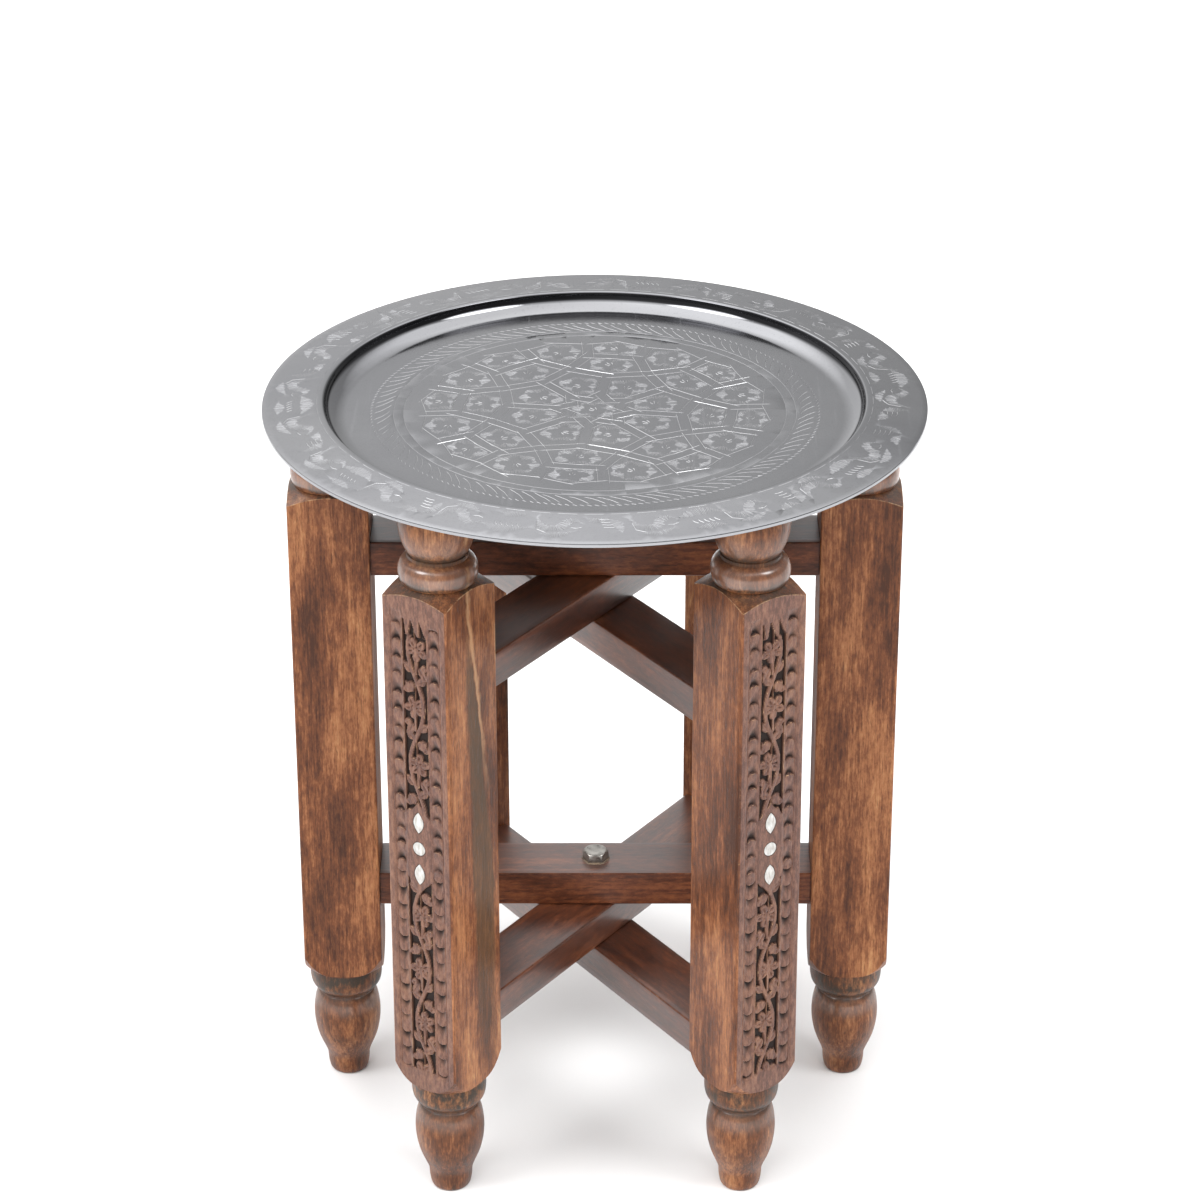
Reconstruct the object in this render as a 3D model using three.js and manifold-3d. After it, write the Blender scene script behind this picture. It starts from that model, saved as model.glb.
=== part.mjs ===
// A round metal serving tray that lies loose on a folding stand. The stand is three timber frames
// that turn about one upright axis: each frame has two legs and two crossbars, and a bolt joins the
// three crossbars at each level. Millimetres, +Z up, the origin on the floor under the axis.
import * as THREE from "three";
import { mergeVertices } from "three/addons/utils/BufferGeometryUtils.js";
import Module from "manifold-3d";

const wasm = await Module();
wasm.setup();

// ---------------------------------------------------------------- driving sizes

// Tray
const TRAY_RADIUS = 250;
const TABLE_HEIGHT = 597.5; // floor to the inner edge of the tray's rim
const RIM_WIDTH = 45;
const RIM_DROP = 4; // how far the rim falls from its inner to its outer edge
const RIM_LIP = 3; // turned-down hem at the outer edge
const WELL_DEPTH = 12.5;
const WALL_RUN = 18; // plan width of the curved wall between the well's edge and its flat floor
const WELL_CORNER = 2; // rounding where the wall meets the rim
const SHEET = 1.5;

// Legs: a rectangular blank, turned round at both ends
const LEG_RADIAL = 62; // along the frame
const LEG_TANGENTIAL = 57; // across the frame
const LEG_INSET = 3; // the leg's axis is this far inside the well's edge
const SEAT_GAP = 0.3; // leg top to the tray's underside
const TOP_TURNING = 66; // height of the bead and cup above the square block
const FOOT_TURNING = 101; // height of the foot and collar below the square block
const BEAD_RADIUS = 28.4;
const BEAD_HEIGHT = 20;
const CUP_RADIUS = 28.2;
const CUP_BEVEL = 3;
const TOP_GROOVE_RADIUS = 22.7;
const TOP_GROOVE_HEIGHT = 2;
const COLLAR_RADIUS = 28.2;
const COLLAR_HEIGHT = 22;
const FOOT_GROOVE_RADIUS = 22.4;
const FOOT_GROOVE_HEIGHT = 3;
const FOOT_BULGE_RADIUS = 26;
const FOOT_ANKLE_RADIUS = 17;
const FOOT_RADIUS = 17.6;
const FOOT_BEVEL = 3;
const TOP_SHOULDER = 9; // fall of the turned shoulder from the bead to the block's corner
const FOOT_SHOULDER = 20; // rise of the turned shoulder from the collar to the block's corner

// Crossbars
const BAR_WIDTH = 50;
const BAR_HEIGHT = 28.2;
const BAR_GAP = 0.4; // running gap between stacked bars
const UPPER_BARS_DROP = 31; // block top to the top of the highest bar
const LOWER_BARS_RISE = 9; // block bottom to the underside of the lowest bar
const TENON_LENGTH = 38;
const TENON_SHOULDER = 5; // step on each side from the bar down to its tenon
const FIT_GAP = 0.3; // round tenons, inlays and fixings

// Pivot bolts, M12
const BOLT_DIAMETER = 12;
const BOLT_ACROSS_FLATS = 18;
const BOLT_HEAD_HEIGHT = 7.5;
const BOLT_END = 4; // bare thread below the nut
const NUT_HEIGHT = 10.8;
const WASHER_RADIUS = 12;
const WASHER_THICKNESS = 2.5;
const HOLE_CLEARANCE = 0.5; // on the radius, bolt to bar

// Shell inlays, three in a row on each leg's outer face
const INLAY_THICKNESS = 1.6;
const INLAY_PROUD = 0.2;
const INLAY_PITCH = 22;
const DOT_RADIUS = 5.4;
const LEAF_LENGTH = 17.5;
const LEAF_WIDTH = 9;
const LEAF_TIP_GROWTH = 4; // a pointed end moves twice as far as its sides when the outline grows
const INLAYS_ABOVE_MIDDLE = 6; // the round inlay above the middle of the square block

// Angle of each frame about the axis when the stand is open, in degrees
const FRAME_ANGLES = { a: 0, b: 56, c: 124 };

// Facets
const TRAY_FACETS = 64;
const WALL_STEPS = 4;
const LEG_FACETS = 20;
const ROUND_FACETS = 16;
const INLAY_ARC_STEPS = 6;

// ---------------------------------------------------------------- worked-out sizes

const WELL_RADIUS = TRAY_RADIUS - RIM_WIDTH;
const FLOOR_RADIUS = WELL_RADIUS - WALL_RUN;
const LEG_CIRCLE = WELL_RADIUS - LEG_INSET;
const FLOOR_TOP = TABLE_HEIGHT - WELL_DEPTH;
const LEG_TOP = FLOOR_TOP - SHEET - SEAT_GAP;
const BLOCK_TOP = LEG_TOP - TOP_TURNING;
const BLOCK_BOTTOM = FOOT_TURNING;
const CORNER_RADIUS = Math.hypot(LEG_RADIAL, LEG_TANGENTIAL) / 2 + 0.5;
const BAR_PITCH = BAR_HEIGHT + BAR_GAP;
const BARS_ROUND_BOLT = 3;
const UPPER_BARS_TOP = BLOCK_TOP - UPPER_BARS_DROP;
const LOWER_BARS_TOP = BLOCK_BOTTOM + LOWER_BARS_RISE + BARS_ROUND_BOLT * BAR_PITCH - BAR_GAP;
const BAR_LEVELS = { upper: UPPER_BARS_TOP, lower: LOWER_BARS_TOP };
const BAR_ORDER = { a: 0, b: 1, c: 2 }; // how many bars lie above each frame's bar
const INLAY_CENTRE = (BLOCK_TOP + BLOCK_BOTTOM) / 2 + INLAYS_ABOVE_MIDDLE;
const FACE_HEIGHTS = { top: INLAY_PITCH, dot: 0, bottom: -INLAY_PITCH };

const barTop = (frame, level) => BAR_LEVELS[level] - BAR_ORDER[frame] * BAR_PITCH;

// ---------------------------------------------------------------- materials

const paint = (color, roughness, metalness) =>
  new THREE.MeshStandardMaterial({ color, roughness, metalness });
const METAL = () => paint(0x9a9b9f, 0.28, 0.9);
const WOOD = () => paint(0x6b3d24, 0.55, 0);
const STEEL = () => paint(0x6e6a64, 0.5, 0.8);
const SHELL = () => paint(0xe9e4dc, 0.3, 0);

// ---------------------------------------------------------------- solids

// A closed geometry as a solid that can be joined and cut.
function solid(geometry) {
  const bare = geometry.clone();
  bare.deleteAttribute("normal");
  bare.deleteAttribute("uv");
  const merged = mergeVertices(bare, 1e-4);
  return new wasm.Manifold(
    new wasm.Mesh({
      numProp: 3,
      vertProperties: merged.attributes.position.array,
      triVerts: new Uint32Array(merged.index.array),
    }),
  );
}

function geometryOf(made) {
  const mesh = made.getMesh();
  const geometry = new THREE.BufferGeometry();
  geometry.setAttribute("position", new THREE.BufferAttribute(mesh.vertProperties, 3));
  geometry.setIndex(new THREE.BufferAttribute(mesh.triVerts, 1));
  geometry.computeVertexNormals();
  return geometry;
}

function named(name, geometry, material) {
  const mesh = new THREE.Mesh(geometry, material);
  mesh.name = name;
  return mesh;
}

// A profile of [radius, height] points turned about the Z axis.
function turned(profile, facets) {
  const points = profile.map(([radius, height]) => new THREE.Vector2(radius, height));
  return new THREE.LatheGeometry(points, facets).rotateX(Math.PI / 2);
}

// A box given by its low and high corners.
function block(low, high) {
  const size = high.map((value, axis) => value - low[axis]);
  const middle = high.map((value, axis) => (value + low[axis]) / 2);
  return new THREE.BoxGeometry(...size).translate(...middle);
}

// An outline in the XY plane raised from z = bottom to z = top.
function raised(shape, bottom, top, curveSegments = ROUND_FACETS) {
  const depth = top - bottom;
  const options = { depth, bevelEnabled: false, curveSegments };
  return new THREE.ExtrudeGeometry(shape, options).translate(0, 0, bottom);
}

const rod = (radius, bottom, top) =>
  turned([[0, bottom], [radius, bottom], [radius, top], [0, top]], ROUND_FACETS);

// A quarter-round line from one [radius, height] to another that starts level and ends upright.
function hollowCurve(from, to, steps) {
  const points = [];
  for (let i = 0; i <= steps; i++) {
    const turn = (i / steps) * (Math.PI / 2);
    const along = Math.sin(turn);
    const rise = 1 - Math.cos(turn);
    points.push([from[0] + (to[0] - from[0]) * along, from[1] + (to[1] - from[1]) * rise]);
  }
  return points;
}

// ---------------------------------------------------------------- tray

// The upper surface from the axis out to the rim's edge.
function trayUpperLine() {
  const wallFoot = [FLOOR_RADIUS, FLOOR_TOP];
  const wallHead = [WELL_RADIUS - WELL_CORNER, TABLE_HEIGHT - WELL_CORNER];
  const wellEdge = [WELL_RADIUS, TABLE_HEIGHT];
  const rimEdge = [TRAY_RADIUS, TABLE_HEIGHT - RIM_DROP];
  return [[0, FLOOR_TOP], ...hollowCurve(wallFoot, wallHead, WALL_STEPS), wellEdge, rimEdge];
}

// The sheet's underside keeps its distance from the floor and rim, and from the steep wall.
function makeTray() {
  const upper = trayUpperLine();
  const under = upper.slice(1, -1).map(([radius, height]) => [
    radius + (SHEET * (height - FLOOR_TOP)) / WELL_DEPTH,
    height - SHEET,
  ]);
  const rimEdgeTop = TABLE_HEIGHT - RIM_DROP;
  const hem = [
    [TRAY_RADIUS - SHEET, rimEdgeTop - SHEET],
    [TRAY_RADIUS - SHEET, rimEdgeTop - RIM_LIP],
    [TRAY_RADIUS, rimEdgeTop - RIM_LIP],
  ];
  const profile = [[0, FLOOR_TOP - SHEET], ...under, ...hem, ...upper.reverse()];
  return named("tray", turned(profile, TRAY_FACETS), METAL());
}

// ---------------------------------------------------------------- legs

// Above the block: a round bead, a groove, and a cup that widens to the flat top.
function topTurning() {
  const beadBottom = BLOCK_TOP + TOP_SHOULDER;
  const beadTop = beadBottom + BEAD_HEIGHT;
  const beadNeck = (BEAD_RADIUS + TOP_GROOVE_RADIUS) / 2;
  const cupBottom = beadTop + TOP_GROOVE_HEIGHT;
  const cupWidest = LEG_TOP - CUP_BEVEL;
  return [
    [beadNeck, beadBottom],
    [BEAD_RADIUS, beadBottom + BEAD_HEIGHT * 0.3],
    [BEAD_RADIUS, beadBottom + BEAD_HEIGHT * 0.6],
    [TOP_GROOVE_RADIUS, beadTop],
    [TOP_GROOVE_RADIUS, cupBottom],
    [(TOP_GROOVE_RADIUS + CUP_RADIUS * 2) / 3, (cupBottom * 2 + cupWidest) / 3],
    [CUP_RADIUS, cupWidest],
    [CUP_RADIUS - CUP_BEVEL, LEG_TOP],
    [0, LEG_TOP],
  ];
}

// Below the block: a vase-shaped foot, a groove and a collar.
function footTurning() {
  const collarBottom = BLOCK_BOTTOM - COLLAR_HEIGHT;
  const footTop = collarBottom - FOOT_GROOVE_HEIGHT;
  const bulgeHeight = footTop * 0.7;
  const ankleHeight = footTop * 0.2;
  const ankleToBulge = (FOOT_ANKLE_RADIUS + FOOT_BULGE_RADIUS) / 2;
  return [
    [0, 0],
    [FOOT_RADIUS - FOOT_BEVEL, 0],
    [FOOT_RADIUS, FOOT_BEVEL],
    [FOOT_RADIUS, ankleHeight * 0.7],
    [FOOT_ANKLE_RADIUS, ankleHeight],
    [ankleToBulge, (ankleHeight * 2 + bulgeHeight) / 3],
    [FOOT_BULGE_RADIUS, bulgeHeight],
    [FOOT_GROOVE_RADIUS, footTop],
    [FOOT_GROOVE_RADIUS, collarBottom],
    [COLLAR_RADIUS, collarBottom + COLLAR_HEIGHT * 0.6],
    [COLLAR_RADIUS, BLOCK_BOTTOM],
  ];
}

// The turned outline: round foot, dome shoulder, square block, sloping shoulder, bead and cup.
function legProfile() {
  const reach = CORNER_RADIUS - COLLAR_RADIUS;
  const dome = [0.45, 0.8].map((share) => [
    COLLAR_RADIUS + reach * share,
    BLOCK_BOTTOM + FOOT_SHOULDER * share * share,
  ]);
  return [
    ...footTurning(),
    ...dome,
    [CORNER_RADIUS, BLOCK_BOTTOM + FOOT_SHOULDER],
    [CORNER_RADIUS, BLOCK_TOP],
    ...topTurning(),
  ];
}

// A pointed leaf standing along Y.
function leafShape(length, width) {
  const shape = new THREE.Shape();
  shape.moveTo(0, -length / 2);
  shape.quadraticCurveTo(width, 0, 0, length / 2);
  shape.quadraticCurveTo(-width, 0, 0, -length / 2);
  return shape;
}

function dotShape(radius) {
  const shape = new THREE.Shape();
  shape.absarc(0, 0, radius, 0, 2 * Math.PI);
  return shape;
}

// One inlay, or the pocket that holds it, on a leg's outer face (the leg's own +X side).
function inlayGeometry(place, grow, bottom, top) {
  const leaf = leafShape(LEAF_LENGTH + LEAF_TIP_GROWTH * grow, LEAF_WIDTH + 2 * grow);
  const shape = place === "dot" ? dotShape(DOT_RADIUS + grow) : leaf;
  const flat = raised(shape, bottom, top, INLAY_ARC_STEPS);
  flat.rotateZ(Math.PI / 2).rotateY(Math.PI / 2);
  return flat.translate(LEG_RADIAL / 2, 0, INLAY_CENTRE + FACE_HEIGHTS[place]);
}

function legSolid(frame) {
  const blank = block(
    [-LEG_RADIAL / 2, -LEG_TANGENTIAL / 2, -1],
    [LEG_RADIAL / 2, LEG_TANGENTIAL / 2, LEG_TOP + 1],
  );
  let leg = solid(turned(legProfile(), LEG_FACETS)).intersect(solid(blank));
  for (const level of Object.keys(BAR_LEVELS)) {
    leg = leg.subtract(solid(tenon(barTop(frame, level), -1, FIT_GAP)));
  }
  for (const place of Object.keys(FACE_HEIGHTS)) {
    const pocketFloor = INLAY_PROUD - INLAY_THICKNESS - FIT_GAP;
    leg = leg.subtract(solid(inlayGeometry(place, FIT_GAP, pocketFloor, 1)));
  }
  return leg;
}

// ---------------------------------------------------------------- crossbars

// A tenon entering a leg that stands at the origin, or, with a gap, the mortise for it.
function tenon(top, side, gap) {
  const face = LEG_RADIAL / 2;
  const halfWidth = BAR_WIDTH / 2 - TENON_SHOULDER + gap;
  const mouth = gap > 0 ? 1 : FIT_GAP + 1;
  return block(
    [side * face - (side < 0 ? mouth : 0), -halfWidth, top - BAR_HEIGHT + TENON_SHOULDER - gap],
    [side * face + TENON_LENGTH + gap, halfWidth, top - TENON_SHOULDER + gap],
  );
}

function barGeometry(top) {
  const halfLength = LEG_CIRCLE - LEG_RADIAL / 2 - FIT_GAP;
  const body = block(
    [-halfLength, -BAR_WIDTH / 2, top - BAR_HEIGHT],
    [halfLength, BAR_WIDTH / 2, top],
  );
  const right = tenon(top, -1, 0).translate(LEG_CIRCLE, 0, 0);
  const left = tenon(top, -1, 0).translate(LEG_CIRCLE, 0, 0).rotateZ(Math.PI);
  const hole = rod(BOLT_DIAMETER / 2 + HOLE_CLEARANCE, top - BAR_HEIGHT - 1, top + 1);
  const joined = solid(body).add(solid(right)).add(solid(left));
  return geometryOf(joined.subtract(solid(hole)));
}

// ---------------------------------------------------------------- fixings

function hexagon(acrossFlats) {
  const shape = new THREE.Shape();
  const corner = acrossFlats / Math.sqrt(3);
  for (let i = 0; i < 6; i++) {
    const turn = (i * Math.PI) / 3;
    const point = [corner * Math.cos(turn), corner * Math.sin(turn)];
    if (i === 0) shape.moveTo(...point);
    else shape.lineTo(...point);
  }
  shape.closePath();
  return shape;
}

function makePivot(level, parts) {
  const seat = BAR_LEVELS[level] + FIT_GAP;
  const stackBottom = BAR_LEVELS[level] - BARS_ROUND_BOLT * BAR_PITCH + BAR_GAP;
  const washerTop = stackBottom - FIT_GAP;
  const washerBottom = washerTop - WASHER_THICKNESS;
  const nutTop = washerBottom - FIT_GAP;
  const nutBottom = nutTop - NUT_HEIGHT;
  const boreRadius = BOLT_DIAMETER / 2 + FIT_GAP;

  const head = solid(raised(hexagon(BOLT_ACROSS_FLATS), seat, seat + BOLT_HEAD_HEIGHT));
  const chamferTop = BOLT_ACROSS_FLATS / 2 - 0.5;
  const crown = turned(
    [
      [0, seat - 1],
      [BOLT_ACROSS_FLATS, seat - 1],
      [BOLT_ACROSS_FLATS, seat + BOLT_HEAD_HEIGHT - (BOLT_ACROSS_FLATS - chamferTop) / 2],
      [chamferTop, seat + BOLT_HEAD_HEIGHT],
      [0, seat + BOLT_HEAD_HEIGHT],
    ],
    ROUND_FACETS,
  );
  const shank = solid(rod(BOLT_DIAMETER / 2, nutBottom - BOLT_END, seat + 1));
  const bolt = geometryOf(head.intersect(solid(crown)).add(shank));
  parts.add(named("pivot_bolt_" + level, bolt, STEEL()));

  const washerDisc = solid(rod(WASHER_RADIUS, washerBottom, washerTop));
  const washerBore = solid(rod(boreRadius, washerBottom - 1, washerTop + 1));
  const washer = geometryOf(washerDisc.subtract(washerBore));
  parts.add(named("pivot_washer_" + level, washer, STEEL()));

  const nutBlock = solid(raised(hexagon(BOLT_ACROSS_FLATS), nutBottom, nutTop));
  const nutBore = solid(rod(boreRadius, nutBottom - 1, nutTop + 1));
  parts.add(named("pivot_nut_" + level, geometryOf(nutBlock.subtract(nutBore)), STEEL()));
}

// ---------------------------------------------------------------- assembly

// One leg standing at the end of its frame, with its three inlays.
function makeLeg(frame, end, turn) {
  const leg = new THREE.Group();
  leg.add(named("leg_" + frame + "_" + end, geometryOf(legSolid(frame)), WOOD()));
  for (const place of Object.keys(FACE_HEIGHTS)) {
    const geometry = inlayGeometry(place, 0, INLAY_PROUD - INLAY_THICKNESS, INLAY_PROUD);
    leg.add(named("inlay_" + frame + "_" + end + "_" + place, geometry, SHELL()));
  }
  leg.position.set(LEG_CIRCLE * Math.cos(turn), LEG_CIRCLE * Math.sin(turn), 0);
  leg.rotation.z = turn;
  return leg;
}

function makeFrame(frame, ends) {
  const group = new THREE.Group();
  ends.forEach((end, i) => group.add(makeLeg(frame, end, i * Math.PI)));
  for (const level of Object.keys(BAR_LEVELS)) {
    group.add(named("bar_" + frame + "_" + level, barGeometry(barTop(frame, level)), WOOD()));
  }
  group.rotation.z = THREE.MathUtils.degToRad(FRAME_ANGLES[frame]);
  return group;
}

const table = new THREE.Group();
table.add(makeTray());
table.add(makeFrame("a", ["right", "left"]));
table.add(makeFrame("b", ["back", "front"]));
table.add(makeFrame("c", ["back", "front"]));
for (const level of Object.keys(BAR_LEVELS)) makePivot(level, table);

export default table;
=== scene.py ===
# A round engraved metal tray on a folding stand of six carved timber legs.
# Sizes are in millimetres and become metres when a mesh is made.
import math
import random

import bpy
import numpy as np
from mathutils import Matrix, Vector
from mathutils.geometry import delaunay_2d_cdt


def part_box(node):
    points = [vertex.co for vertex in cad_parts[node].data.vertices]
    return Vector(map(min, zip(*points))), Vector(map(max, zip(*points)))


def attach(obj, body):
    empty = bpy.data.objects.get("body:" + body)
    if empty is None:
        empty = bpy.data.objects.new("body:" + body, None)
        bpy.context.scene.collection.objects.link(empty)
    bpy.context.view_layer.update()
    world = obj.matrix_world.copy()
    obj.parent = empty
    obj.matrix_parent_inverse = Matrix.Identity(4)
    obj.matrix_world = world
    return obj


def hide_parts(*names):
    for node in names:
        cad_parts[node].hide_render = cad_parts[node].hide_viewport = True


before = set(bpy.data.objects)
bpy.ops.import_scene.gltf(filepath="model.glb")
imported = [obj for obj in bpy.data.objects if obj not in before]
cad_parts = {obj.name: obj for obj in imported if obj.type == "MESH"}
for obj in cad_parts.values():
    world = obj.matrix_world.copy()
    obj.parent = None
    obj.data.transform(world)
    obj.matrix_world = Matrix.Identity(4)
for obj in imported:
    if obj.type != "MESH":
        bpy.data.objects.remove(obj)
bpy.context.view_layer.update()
MM = 0.001


def box_mm(node):
    """A CAD node's low and high corners, in millimetres."""
    low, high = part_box(node)
    return np.array(low) / MM, np.array(high) / MM


# ---------------------------------------------------------------- sizes

TRAY_RADIUS = 250.0
WELL_RADIUS = 205.0
FLOOR_RADIUS = 187.0
WELL_CORNER = 2.0
RIM_DROP = 4.0
RIM_LIP = 3.0
SHEET = 1.5
WELL_DEPTH = 12.5
TRAY_TURNS = 288

LEG_CIRCLE = 202.0
LEG_HALF_RADIAL = 31.0
LEG_HALF_TANGENTIAL = 28.5
LEG_ARRIS = 1.4
CORNER_RADIUS = 42.61
COLLAR_RADIUS = 28.2
BLOCK_BOTTOM = 101.0
BLOCK_TOP = 517.2
TOP_SHOULDER = 9.0
FOOT_SHOULDER = 20.0
SHOULDER_NECK = 25.55
INLAY_CENTRE = 315.1
INLAY_PITCH = 22.0
DOT_RADIUS = 5.4
LEAF_WIDTH = 9.0
LEAF_LENGTH = 17.5
MIDWAY_UP = 300.0  # between the lower and the upper shoulder

FRAME_TURN = {"a": 0.0, "b": 56.0, "c": 124.0}
LEG_TURN = {
    "a_right": 0.0,
    "b_back": 56.0,
    "c_back": 124.0,
    "a_left": 180.0,
    "b_front": 236.0,
    "c_front": 304.0,
}
BAR_WIDTH = 50.0
BAR_HEIGHT = 28.2
BAR_HALF_LENGTH = 170.7
BAR_ARRIS = 1.3

TABLE_TOP = box_mm("tray")[1][2]
FLOOR_TOP = TABLE_TOP - WELL_DEPTH

# ---------------------------------------------------------------- mesh helpers


def ring_faces(rows, columns):
    """Quads between neighbouring rows of a grid whose rows are closed loops."""
    row = np.arange(rows - 1)[:, None] * columns
    here = np.arange(columns)[None, :]
    after = (here + 1) % columns
    corners = [row + here, row + after, row + columns + after, row + columns + here]
    return np.stack(corners, axis=-1).reshape(-1, 4)


def fan_faces(start, columns, hub, turned_over=False):
    """Triangles from one closed row to a middle point."""
    here = start + np.arange(columns)
    after = start + (np.arange(columns) + 1) % columns
    middle = np.full(columns, hub)
    order = [after, here, middle] if turned_over else [here, after, middle]
    return np.stack(order, axis=-1)


def capped_tube(row_count, columns):
    """Faces of a tube of closed rows, with a fan to a middle point at each end.

    The middle points follow the rows: first the one at the first row, then the one at the last.
    """
    count = row_count * columns
    faces = ring_faces(row_count, columns).tolist()
    faces += fan_faces(0, columns, count, turned_over=True).tolist()
    faces += fan_faces(count - columns, columns, count + 1).tolist()
    return faces


def add_layers(mesh, layers):
    """Writes named values, or vectors, onto a mesh's points."""
    for name, values in layers.items():
        values = np.asarray(values, dtype=np.float32)
        kind = "FLOAT_VECTOR" if values.ndim == 2 else "FLOAT"
        layer = mesh.attributes.new(name, kind, "POINT")
        layer.data.foreach_set("vector" if values.ndim == 2 else "value", values.ravel())


def make_piece(name, points, faces, body, material, nodes=(), layers=None, sharp=35.0):
    """A smooth-shaded mesh piece that rides on a body and stands for its CAD nodes."""
    mesh = bpy.data.meshes.new(name)
    mesh.from_pydata((np.asarray(points) * MM).tolist(), [], [list(f) for f in faces])
    mesh.validate()
    add_layers(mesh, layers or {})
    mesh.materials.append(material)
    mesh.shade_smooth()
    mesh.set_sharp_from_angle(angle=math.radians(sharp))
    piece = bpy.data.objects.new(name, mesh)
    bpy.context.scene.collection.objects.link(piece)
    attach(piece, body)
    if nodes:
        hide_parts(*nodes)
    return piece


def turn_about_axis(points, degrees):
    """Points turned about the stand's upright axis."""
    turn = math.radians(degrees)
    c, s = math.cos(turn), math.sin(turn)
    points = np.asarray(points, dtype=float)
    x = points[:, 0] * c - points[:, 1] * s
    y = points[:, 0] * s + points[:, 1] * c
    return np.stack([x, y, points[:, 2]], axis=-1)


def polar(radius, degrees):
    """A flat point at this radius and turn from the middle."""
    turn = math.radians(degrees)
    return np.array([radius * math.cos(turn), radius * math.sin(turn)])


def cut_corners(line, passes=3):
    """A smooth line: each pass swaps a corner for two points a quarter way along its sides."""
    line = np.asarray(line, dtype=float)
    for _ in range(passes):
        near = line[:-1] * 0.75 + line[1:] * 0.25
        far = line[:-1] * 0.25 + line[1:] * 0.75
        middle = np.stack([near, far], axis=1).reshape(-1, line.shape[1])
        line = np.vstack([line[:1], middle[1:-1], line[-1:]])
    return line


def eased_section(half_width, half_height, ease, counts):
    """Points round a rectangle with eased corners, anticlockwise from its right side.

    counts says into how many parts each side is cut. Also returns each point's side, or -1 in a corner.
    """
    a, b, e = half_width, half_height, ease
    sides = [
        ((a, -(b - e)), (a, b - e)),
        ((a - e, b), (-(a - e), b)),
        ((-a, b - e), (-a, -(b - e))),
        ((-(a - e), -b), (a - e, -b)),
    ]
    corners = [(a - e, b - e), (-(a - e), b - e), (-(a - e), -(b - e)), (a - e, -(b - e))]
    points, owners = [], []
    for side, ((start, end), corner, count) in enumerate(zip(sides, corners, counts)):
        start, end = np.array(start), np.array(end)
        for share in np.linspace(0.0, 1.0, count + 1):
            points.append(start + (end - start) * share)
            owners.append(side)
        for step in (22.5, 45.0, 67.5):
            points.append(np.array(corner) + polar(e, 90.0 * side + step))
            owners.append(-1)
    return np.array(points), np.array(owners)


def smooth_step(low, high, value):
    """0 below low, 1 above high, and a soft slope between them."""
    share = np.clip((value - low) / (high - low), 0.0, 1.0)
    return share * share * (3.0 - 2.0 * share)


def ripple(points, seed, scale):
    """A slow wobble from -1 to 1 over the points, the same on each run."""
    chance = np.random.RandomState(seed)
    total = np.zeros(len(points))
    for _ in range(5):
        direction = chance.normal(size=3)
        direction /= np.linalg.norm(direction)
        pace = chance.uniform(0.6, 1.9) / scale
        total += np.sin(points @ direction * pace + chance.uniform(0, 6.28))
    return total / 5.0


# ---------------------------------------------------------------- node helpers

FLOAT, VECTOR = "NodeSocketFloat", "NodeSocketVector"


def set_input(tree, socket, value):
    """Links a socket to another one, or gives it a fixed value."""
    if isinstance(value, bpy.types.NodeSocket):
        tree.links.new(value, socket)
    else:
        socket.default_value = value


def node(tree, kind, inputs=None, **settings):
    """A shader node with its settings, its input values and its input links."""
    made = tree.nodes.new(kind)
    for key, value in settings.items():
        setattr(made, key, value)
    for key, value in (inputs or {}).items():
        set_input(tree, made.inputs[key], value)
    return made


def noise(tree, vector, scale, detail=3.0, roughness=0.55):
    values = {"Vector": vector, "Scale": scale, "Detail": detail, "Roughness": roughness}
    return node(tree, "ShaderNodeTexNoise", values).outputs["Fac"]


def stretch(tree, vector, scale):
    """Coordinates scaled along each axis."""
    return node(tree, "ShaderNodeMapping", {"Vector": vector, "Scale": scale}).outputs["Vector"]


def span(tree, value, low, high, to_low=0.0, to_high=1.0):
    """A value's range mapped to another one, and held at its ends."""
    values = {"Value": value, "From Min": low, "From Max": high}
    values.update({"To Min": to_low, "To Max": to_high})
    return node(tree, "ShaderNodeMapRange", values).outputs["Result"]


def maths(tree, operation, first, second=0.0):
    return node(tree, "ShaderNodeMath", {0: first, 1: second}, operation=operation).outputs["Value"]


def times(tree, first, second):
    return maths(tree, "MULTIPLY", first, second)


def plus(tree, first, second):
    return maths(tree, "ADD", first, second)


def minus(tree, first, second):
    return maths(tree, "SUBTRACT", first, second)


def higher(tree, first, second):
    return maths(tree, "MAXIMUM", first, second)


def mixed(tree, share, first, second):
    """Two colours mixed by a share."""
    values = {0: share, 6: first, 7: second}
    return node(tree, "ShaderNodeMix", values, data_type="RGBA").outputs[2]


def layer(tree, name, output="Fac"):
    """A named value that the mesh holds."""
    return node(tree, "ShaderNodeAttribute", attribute_name=name).outputs[output]


def hue(red, green, blue):
    return (red, green, blue, 1.0)


def new_group(name, sockets_in, masks_out):
    """An empty node group with its sockets, and its two end nodes."""
    tree = bpy.data.node_groups.new(name, "ShaderNodeTree")
    for label, kind, value in sockets_in:
        socket = tree.interface.new_socket(label, in_out="INPUT", socket_type=kind)
        if value is not None:
            socket.default_value = value
    for label in masks_out:
        tree.interface.new_socket(label, in_out="OUTPUT", socket_type=FLOAT)
    return tree, tree.nodes.new("NodeGroupInput"), tree.nodes.new("NodeGroupOutput")


def place_group(tree, group, inputs):
    return node(tree, "ShaderNodeGroup", inputs, node_tree=group)


def new_material(name):
    """A material with its tree and its one Principled shader."""
    material = bpy.data.materials.new(name)
    material.use_nodes = True
    tree = material.node_tree
    return material, tree, tree.nodes["Principled BSDF"]


def feed(tree, shader, **links):
    """Links values to the shader's sockets; an underscore in a key stands for a space."""
    for key, value in links.items():
        tree.links.new(value, shader.inputs[key.replace("_", " ")])


def bump(tree, height, distance, strength=1.0, normal=None):
    values = {"Height": height, "Distance": distance, "Strength": strength}
    if normal is not None:
        values["Normal"] = normal
    return node(tree, "ShaderNodeBump", values).outputs["Normal"]


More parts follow.
